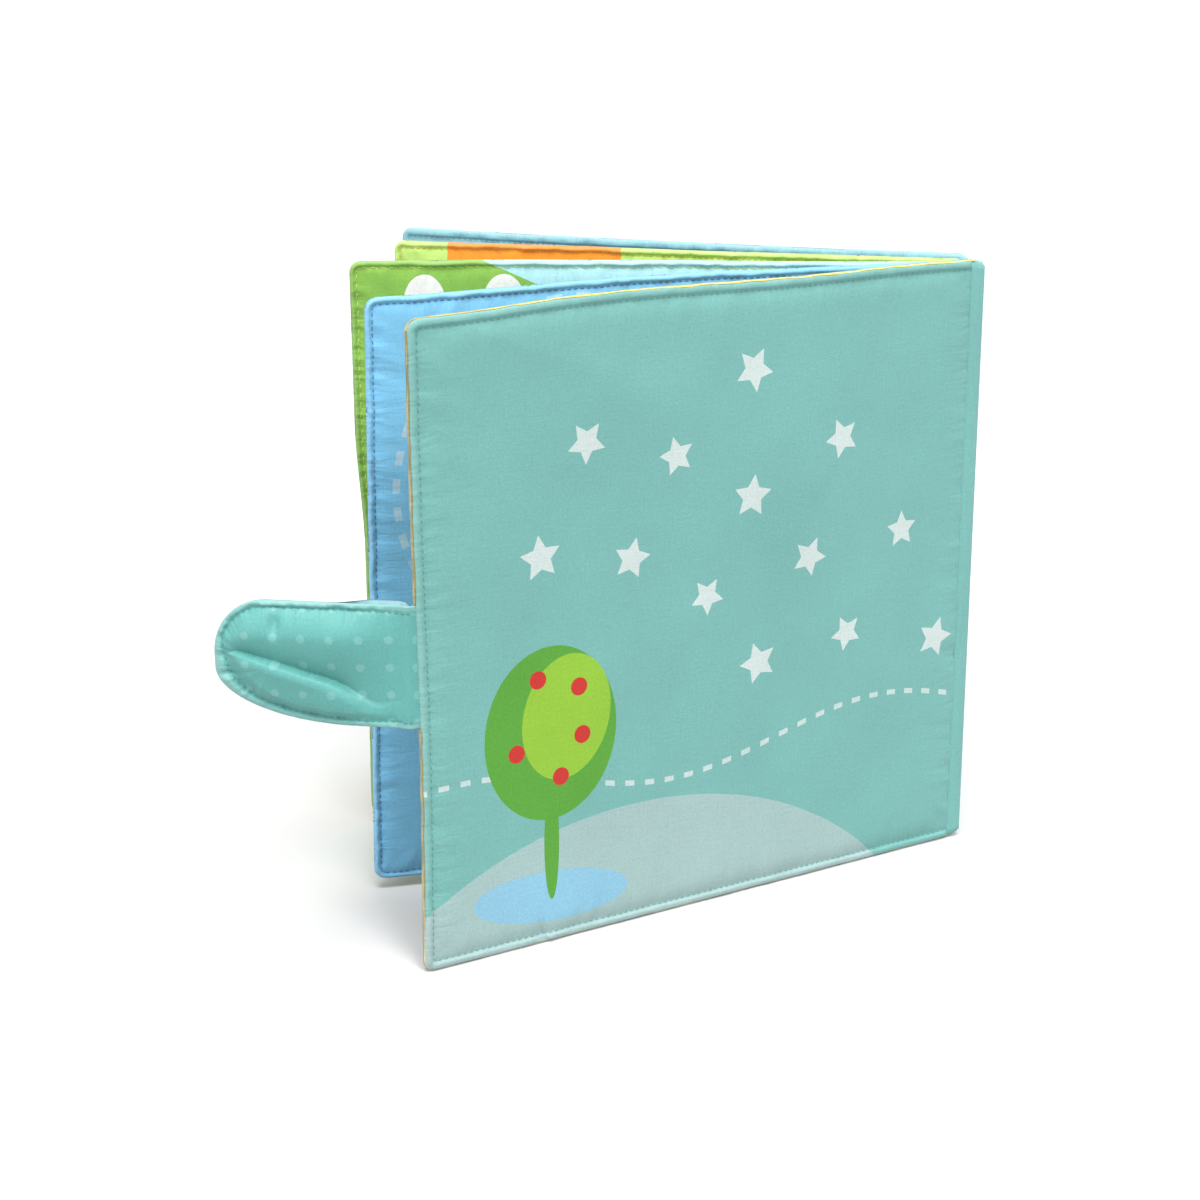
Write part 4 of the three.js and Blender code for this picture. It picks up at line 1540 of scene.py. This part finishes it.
def spine_stitches(name):
    """A row of stitches up the middle of a panel's spine strip."""
    def line(distance, aside, lift):
        return on_strip(name, SPINE_HALF - SPINE_GROOVE + lift, aside, distance + SPINE_STITCH_START) * MM

    run = SPINE_HEIGHT - 2 * SPINE_STITCH_START
    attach(stitch_row(f"spine_stitching_{name}", line, run, "teal_thread", closed=False), name)


for first, second in zip(SPINE_ORDER, SPINE_ORDER[1:]):
    spine_fold(first, second)
spine_end("back_cover", -1, HEAD_DROP)
spine_end("front_cover", 1, FRONT_HEAD_DROP)
for name in SPINE_ORDER:
    spine_stitches(name)


# Closing strap

strap_root = joint_places["strap_turn"]
strap_run = joint_places["strap_fold"] - strap_root
FOLD_AT = float(np.linalg.norm(strap_run))
STRAP_SPLIT = FOLD_AT / 2
strap_run = strap_run / FOLD_AT
STRAP_TURN = math.atan2(
    back_cover.along[0] * strap_run[1] - back_cover.along[1] * strap_run[0],
    back_cover.along[0] * strap_run[0] + back_cover.along[1] * strap_run[1],
)
STRAP_EDGE = 2 * STRAP_LENGTH + STRAP_WIDTH
crease_line = spline(CREASE, CREASE_POINTS)
strap_tight = ring_noise(STRAP_TIGHT_KNOTS)
strap_loose = ring_noise(STRAP_LOOSE_KNOTS)
strap_swell = plane_noise(STRAP_SWELL_CELL)


def strap_place(along, depth, across):
    """Points of the strap at rest, in metres: it leaves the cover's edge in its plane, then turns in."""
    angle = STRAP_TURN * ramp(along, *STRAP_BEND)
    flat = np.outer(along, back_cover.along) + np.outer(depth, back_cover.far)
    cosine = np.cos(angle)
    sine = np.sin(angle)
    x = flat[:, 0] * cosine - flat[:, 1] * sine
    y = flat[:, 0] * sine + flat[:, 1] * cosine
    return np.stack([strap_root[0] + x, strap_root[1] + y, strap_middle + across], 1) * MM


def rounding_run(across):
    """Length over which the strap's end is rounded: short above its middle and long below."""
    upper = ramp(across, -STRAP_TIP_RADIUS / 2, STRAP_TIP_RADIUS / 2)
    return STRAP_LOWER_RUN + (STRAP_TIP_RADIUS - STRAP_LOWER_RUN) * upper


def past_rounding(along, run):
    """Share of the way through the rounding."""
    return np.maximum(0, along - STRAP_LENGTH + run) / run


def strap_half_width(along, upper):
    """Half the strap's width at places along it, on its upper or lower side."""
    def half(side):
        past = past_rounding(along, rounding_run(side * STRAP_WIDTH / 2))
        return STRAP_WIDTH / 2 - STRAP_TIP_RADIUS + STRAP_TIP_RADIUS * np.sqrt(np.maximum(0, 1 - past**2))

    return np.where(upper, half(1), half(-1))


def strap_inset(along, across):
    """Distance from the strap's sewn outline."""
    past = past_rounding(along, rounding_run(across))
    aside = np.maximum(0, np.abs(across) - STRAP_WIDTH / 2 + STRAP_TIP_RADIUS) / STRAP_TIP_RADIUS
    return np.maximum(0, STRAP_TIP_RADIUS * (1 - np.hypot(past, aside)))


def strap_profile(inset, crown):
    """Height of a strap cloth over the strap's middle, from the distance to its outline."""
    field_run = STRAP_FIELD_INSET - STRAP_STITCH_INSET
    heights = (STRAP_ROLL_HEIGHT, STRAP_STITCH_HEIGHT, STRAP_FIELD_HEIGHT)
    sewn = sewn_profile(inset, STRAP_STITCH_INSET, STRAP_STITCH_INSET / 2, field_run, *heights)
    return sewn + crown * eased((inset - STRAP_STITCH_INSET) / STRAP_CROWN_RUN)


def crease_strength(along):
    """How fully the tuck is formed, from 0 to 1."""
    growing = CREASE_SOFT * ramp(along, *CREASE_START) + (1 - CREASE_SOFT) * ramp(along, *CREASE_SHARP)
    return growing * (1 - ramp(along, *CREASE_STOP))


def above_crease(along, across):
    """Distance above the tuck's line."""
    return across - np.interp(along, crease_line[:, 0], crease_line[:, 1])


def strap_crease(along, across):
    """The long tuck: the cloth below it stands in a ridge and falls sharply, and above it climbs again."""
    past = above_crease(along, across)
    fall_run = CREASE_FALL + SOFT_FALL * (1 - ramp(along, *CREASE_SHARP))
    below = np.minimum(past, 0) + RIDGE_BACK
    ridge = np.where(below < 0, hump(below, 0, RIDGE_REACH), 1 - RIDGE_DROP * (below / RIDGE_BACK) ** 2)
    fall = (RIDGE_HEIGHT * (1 - RIDGE_DROP) + CREASE_DEPTH) * smooth(past / fall_run)
    climb = CREASE_DEPTH * (1 - fading(past - fall_run, CREASE_REACH))
    return crease_strength(along) * (RIDGE_HEIGHT * ridge - fall + climb)


def crease_shade(along, across):
    """How deep in the tuck the cloth lies, from 0 to 1."""
    past = above_crease(along, across)
    shaded = ramp(past, *CREASE_SHADE_BAND) * fading(past - CREASE_SHADE_BAND[1], CREASE_SHADE_REACH)
    return crease_strength(along) * shaded


def strap_way_round(along, across):
    """Way along the strap's edge, from the middle of its tip, for the point of the edge that is nearest."""
    turn_at = STRAP_LENGTH - STRAP_WIDTH / 2
    tip = STRAP_WIDTH / 2 * np.arctan2(across, np.maximum(along - turn_at, 1e-6))
    return tip + np.sign(across) * np.maximum(turn_at - along, 0)


def strap_rise(along, across, side):
    """Height of the strap's cloth over its middle, where side -1 is the outer cloth and +1 the lining."""
    inset = strap_inset(along, across)
    inside = ramp(inset, STRAP_STITCH_INSET, STRAP_FIELD_INSET)
    if side < 0:
        crown = STRAP_LOWER_CROWN + (STRAP_UPPER_CROWN - STRAP_LOWER_CROWN) * ramp(across, *STRAP_CROWN_BAND)
        height = strap_profile(inset, crown) + inside * strap_crease(along, across)
        dimple = ((along - DIMPLE[0]) / DIMPLE_SIZE[0]) ** 2 + ((across - DIMPLE[1]) / DIMPLE_SIZE[1]) ** 2
        height = height - DIMPLE_DEPTH * np.exp(-dimple)
    else:
        height = strap_profile(inset, 0)
    round_edge = strap_way_round(along, across) / STRAP_EDGE + 0.5
    within = inset - STRAP_STITCH_INSET
    drawn = ramp(inset, 0, STRAP_STITCH_INSET + STRAP_DRAWN_PAST)
    pinch = STRAP_PINCH * strap_tight(STRAP_PINCH_RATE * round_edge) * on_roll(inset, STRAP_STITCH_INSET)
    tight = STRAP_TIGHT[0] * strap_tight(round_edge) * fading(within, STRAP_TIGHT[1])
    loose = STRAP_LOOSE[0] * strap_loose(round_edge) * fading(within, STRAP_LOOSE[1])
    swell = STRAP_SWELL * strap_swell(along + STRAP_SWELL_START, across + STRAP_SWELL_START) * inside
    height = height + pinch + drawn * (tight + loose) - swell
    opened = ramp(along, *STRAP_OPENS)
    return np.maximum(np.minimum(height, STRAP_SEWN_HALF) * (1 - opened) + height * opened, SEAM_HEIGHT)


def strap_cloth(name, start, end, side, material):
    """One cloth of the strap between two places along it."""
    share = np.linspace(0, 1, STRAP_ROWS)
    rows = start + (end - start) * (np.sin(share * math.pi / 2) if end == STRAP_LENGTH else share)
    spread = np.linspace(-1, 1, STRAP_COLUMNS)
    along, column = grid(rows, STRAP_BUNCH * np.sin(spread * math.pi / 2) + (1 - STRAP_BUNCH) * spread)
    across = strap_half_width(along, column > 0) * column
    by_root = ramp(along, *STRAP_LIP_START) * (1 - ramp(along, *STRAP_LIP_STOP))
    lip = (side > 0) * ramp(column, STRAP_LIP_EDGE, 1) * by_root

    def layer(lift):
        height = np.maximum(strap_rise(along, across, side) + lift, SEAM_HEIGHT / 4)
        height = height + lip * (STRAP_LIP_LEAN + lift - height)
        return strap_place(along, STRAP_AXIS_DEPTH + side * height, across + STRAP_LINING_LIP * lip)

    outer = layer(0)
    inner = layer(-CLOTH)
    inset = strap_inset(along, across)
    fields = {
        "inset": inset,
        "round": strap_way_round(along, across),
        "gather": ramp(inset, 0, STRAP_STITCH_INSET) * fading(inset - STRAP_STITCH_INSET, STRAP_GATHER_REACH),
        "fold": crease_shade(along, across),
    }
    doubled = {title: np.tile(values, 2) for title, values in fields.items()}
    plane = np.tile(np.stack([along + STRAP_PLANE[0], across + STRAP_PLANE[1]], 1), (2, 1))
    faces = closed_grid(STRAP_ROWS, STRAP_COLUMNS)
    cloth = mesh_object(name, np.concatenate([outer, inner]), faces, material, plane, **doubled)
    normals = surface_normals(outer, inner)
    cloth.data.normals_split_custom_set_from_vertices(np.concatenate([normals, -normals]).tolist())
    return cloth


def surface_normals(outer, inner):
    """Normals of a grid of points, away from the grid behind it."""
    points = outer.reshape(STRAP_ROWS, STRAP_COLUMNS, 3)
    normal = np.cross(np.gradient(points, axis=1), np.gradient(points, axis=0)).reshape(-1, 3)
    return unit(normal if np.sum(normal * (outer - inner)) >= 0 else -normal)


def strap_stiffener(name, start, end):
    """Interlining between the strap's two cloths, thinner where the outer cloth is creased down to it."""
    start = max(start, STIFFENER_START)
    end = min(end, STRAP_LENGTH - STIFFENER_SHORT)
    rows = np.linspace(start, end, STIFFENER_POINTS)
    along, column = grid(rows, np.linspace(-STIFFENER_SHARE, STIFFENER_SHARE, STIFFENER_POINTS))
    across = strap_half_width(along, column > 0) * column

    def layer(side):
        lowest = np.min([strap_rise(along, across + step, side) for step in STIFFENER_SPREAD], 0)
        height = np.clip(lowest - CLOTH - STIFFENER_GAP, STIFFENER_LEAST, STIFFENER_HALF)
        return strap_place(along, STRAP_AXIS_DEPTH + side * height, across)

    points = np.concatenate([layer(-1), layer(1)])
    return mesh_object(name, points, closed_grid(STIFFENER_POINTS, STIFFENER_POINTS), "interlining")


def bend_strap(piece, part):
    """Bakes a piece of the strap into its mesh. Where it would bend, between the cover and the base for the
    root half and between the base and the tip for the rest, is found but not used.
    """
    if part == "base":
        places = STRAP_BEND
    else:
        places = (FOLD_AT - STRAP_FOLD_HALF, FOLD_AT + STRAP_FOLD_HALF)
    start, end = strap_place(np.array(places), np.zeros(2), np.zeros(2))
    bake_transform(piece)


def dress_strap():
    """Two cloths over an interlining, each in a base and a tip."""
    lengths = (("base", -STRAP_INSIDE, STRAP_SPLIT), ("tip", STRAP_SPLIT, STRAP_LENGTH))
    for part, start, end in lengths:
        stiffener = strap_stiffener(f"strap_{part}_stiffener", start, end)
        bend_strap(stiffener, part)
        stand_for(f"strap_{part}_interlining", "interlining")
        for side, node, material in ((-1, "outer_cloth", "strap"), (1, "lining", "plain_sky")):
            cloth = strap_cloth(f"strap_{part}_{node}_sewn", start, end, side, material)
            bend_strap(cloth, part)
            stand_for(f"strap_{part}_{node}", "strap_cloth")


def strap_outline(inset):
    """Places along and across the strap, at an inset from its edge, from its upper root round the tip."""
    start = STRAP_LENGTH - STRAP_LOWER_RUN - 1
    angle = np.linspace(math.pi / 2, -math.pi / 2, STRAP_SEAM_POINTS)
    near = np.zeros(len(angle))
    far = np.full(len(angle), float(STRAP_LENGTH))
    for _ in range(STRAP_SEAM_STEPS):
        half = (near + far) / 2
        along = start + half * np.cos(angle)
        across = half * np.sin(angle)
        outside = (np.abs(across) > strap_half_width(along, across > 0)) | (along > STRAP_LENGTH)
        inside = ~outside & (strap_inset(along, across) > inset)
        near = np.where(inside, half, near)
        far = np.where(inside, far, half)
    along = np.concatenate([[0], start + near * np.cos(angle), [0]])
    across = np.concatenate([[near[0]], near * np.sin(angle), [-near[-1]]])
    return along, across


def strap_seam(face, side):
    """Topstitching round one face of the strap, in three rows: two by the root and one round the tip."""
    along, across = strap_outline(STRAP_STITCH_INSET)
    run = np.concatenate([[0], np.cumsum(np.hypot(np.diff(along), np.diff(across)))])
    split = STRAP_SPLIT
    lower = run[-1] - split
    rows = (("base", "upper", 0, split), ("tip", "round", split, lower), ("base", "lower", lower, run[-1]))
    for part, place, first, last in rows:

        def line(distance, aside, lift, first=first):
            at = np.clip(distance + first, 0, run[-1])
            here = np.interp(at, run, along)
            height = np.interp(at, run, across)
            after = at + STRAP_SEAM_LOOK
            before = at - STRAP_SEAM_LOOK
            ahead = np.interp(after, run, along) - np.interp(before, run, along)
            up = np.interp(after, run, across) - np.interp(before, run, across)
            length = np.maximum(np.hypot(ahead, up), 1e-9)
            depth = STRAP_AXIS_DEPTH + side * (strap_rise(here, height, side) + lift)
            return strap_place(here - aside * up / length, depth, height + aside * ahead / length)

        name = f"strap_{part}_{face}_{place}_stitching"
        bend_strap(stitch_row(name, line, last - first, "strap_thread"), part)


dress_strap()
strap_seam("outer", -1)
strap_seam("lining", 1)


# Hook-and-loop closure


def wires(name, paths, material):
    """Thin bent wires in one mesh. Each path is a row of points in millimetres, and all are as long."""
    paths = np.array(paths)
    turn = (np.arange(WIRE_SIDES) * 2 * math.pi / WIRE_SIDES)[:, None]
    tangent = unit(np.gradient(paths, axis=1))
    aside = unit(np.cross(tangent, WIRE_ASIDE))
    other = np.cross(tangent, aside)
    around = aside[:, :, None] * np.cos(turn) + other[:, :, None] * np.sin(turn)
    points = (paths[:, :, None] + WIRE * around).reshape(-1, 3)
    return mesh_object(name, points * MM, tube_faces(*paths.shape[:2], WIRE_SIDES), material)


def dress_patch(board, node, body, wire_path, rows, columns):
    """A patch of fastener tape: a sewn base, and rows of wires that stand on it."""
    plate = Plate(board, node, PATCH_CORNER)
    base = plate.tape(f"{node}_tape", "tape", PATCH_BASE, PATCH_ROUND)
    settle(base, body, node, "fastener_tape")
    seam = plate.seam(f"{node}_stitching", PATCH_STITCH_INSET, PATCH_BASE, "cream_thread")
    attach(seam, body)
    width = plate.width - 2 * PILE_MARGIN
    height = plate.height - 2 * PILE_MARGIN
    paths = []
    for row in range(rows):
        for column in range(columns):
            u = PILE_MARGIN + width * (column + random.uniform(*WIRE_STRAY)) / columns
            z = PILE_MARGIN + height * (row + random.uniform(*WIRE_STRAY)) / rows
            du, dz, rise = wire_path(plate.thick - PATCH_BASE - WIRE)
            paths.append(plate.place(u + du, PATCH_BASE + rise, z + dz) / MM)
    pile = wires(f"{node}_pile", paths, "tape")
    settle(pile, body, slot="fastener_tape")


def hook_path(height):
    """One hook: a stem that bends over at its head."""
    lean = random.choice([-1, 1])
    aside, up = np.array(HOOK).T
    return lean * aside, 0 * aside, height * up


def loop_path(height):
    """One loop: an arch of thread that leans and turns as it likes."""
    turn = random.uniform(0, math.pi)
    angle = np.linspace(0, math.pi, LOOP_POINTS)
    reach = random.uniform(*LOOP_REACH) * np.cos(angle)
    rise = height * random.uniform(*LOOP_RISE) * np.sin(angle)
    lean = LOOP_LEAN * rise
    cosine = math.cos(turn)
    sine = math.sin(turn)
    return reach * cosine + lean * sine, reach * sine - lean * cosine, rise


dress_patch(Board(strap_root, strap_run), "strap_hook_patch", "strap_tip", hook_path, *HOOK_ROWS)
dress_patch(front_cover, "front_cover_loop_patch", "front_cover", loop_path, *LOOP_ROWS)


# Floor, light and camera


def make_floor():
    mesh = bpy.data.meshes.new("floor")
    corners = [(-1, -1), (1, -1), (1, 1), (-1, 1)]
    mesh.from_pydata([(FLOOR_HALF * x, FLOOR_HALF * y, 0) for x, y in corners], [], [(0, 1, 2, 3)])
    paper = Shader("floor_paper")
    shown = paper.mix(paper.background_rays(), FLOOR_BOUNCE, FLOOR_SEEN)
    paper.set(Base_Color=shown, Roughness=0.9, Specular_IOR_Level=0.1)
    mesh.materials.append(paper.material)
    add_object("floor", mesh)


def direction(azimuth, elevation):
    """Towards a place seen from the object, with azimuth 0 at the front."""
    turn = math.radians(azimuth)
    rise = math.radians(elevation)
    return Vector((math.sin(turn) * math.cos(rise), -math.cos(turn) * math.cos(rise), math.sin(rise)))


def make_sun(name, strength, azimuth, elevation, softness):
    light = bpy.data.lights.new(name, "SUN")
    light.energy = strength
    light.angle = math.radians(softness)
    lamp = add_object(name, light)
    lamp.rotation_mode = "QUATERNION"
    lamp.rotation_quaternion = direction(azimuth, elevation).to_track_quat("Z", "Y")


def make_world(strength):
    """Even white light of that strength, from a background that looks white."""
    world = bpy.data.worlds.new("studio")
    world.use_nodes = True
    nodes = Nodes(world.node_tree)
    background = world.node_tree.nodes["Background"].inputs
    background["Color"].default_value = (1, 1, 1, 1)
    nodes.feed(background["Strength"], nodes.background_rays() * (1 - strength) + strength)
    bpy.context.scene.world = world


def make_camera():
    camera = bpy.data.cameras.new("camera")
    camera.sensor_width = SENSOR
    camera.lens = FOCAL_PIXELS / IMAGE_SIDE * SENSOR
    camera.clip_start = 0.01
    obj = add_object("camera", camera)
    ahead = -direction(CAMERA_AZIMUTH, CAMERA_ELEVATION)
    aimed = ahead.to_track_quat("-Z", "Y").to_matrix() @ Matrix.Rotation(math.radians(CAMERA_ROLL), 3, "Z")
    obj.rotation_euler = aimed.to_euler()
    obj.location = Vector(CAMERA_PLACE) * MM
    bpy.context.scene.camera = obj


make_floor()
make_world(WORLD_LIGHT)
for lamp in LAMPS:
    make_sun(*lamp)
make_camera()
bpy.context.scene.view_settings.view_transform = "Standard"

bpy.context.view_layer.update()
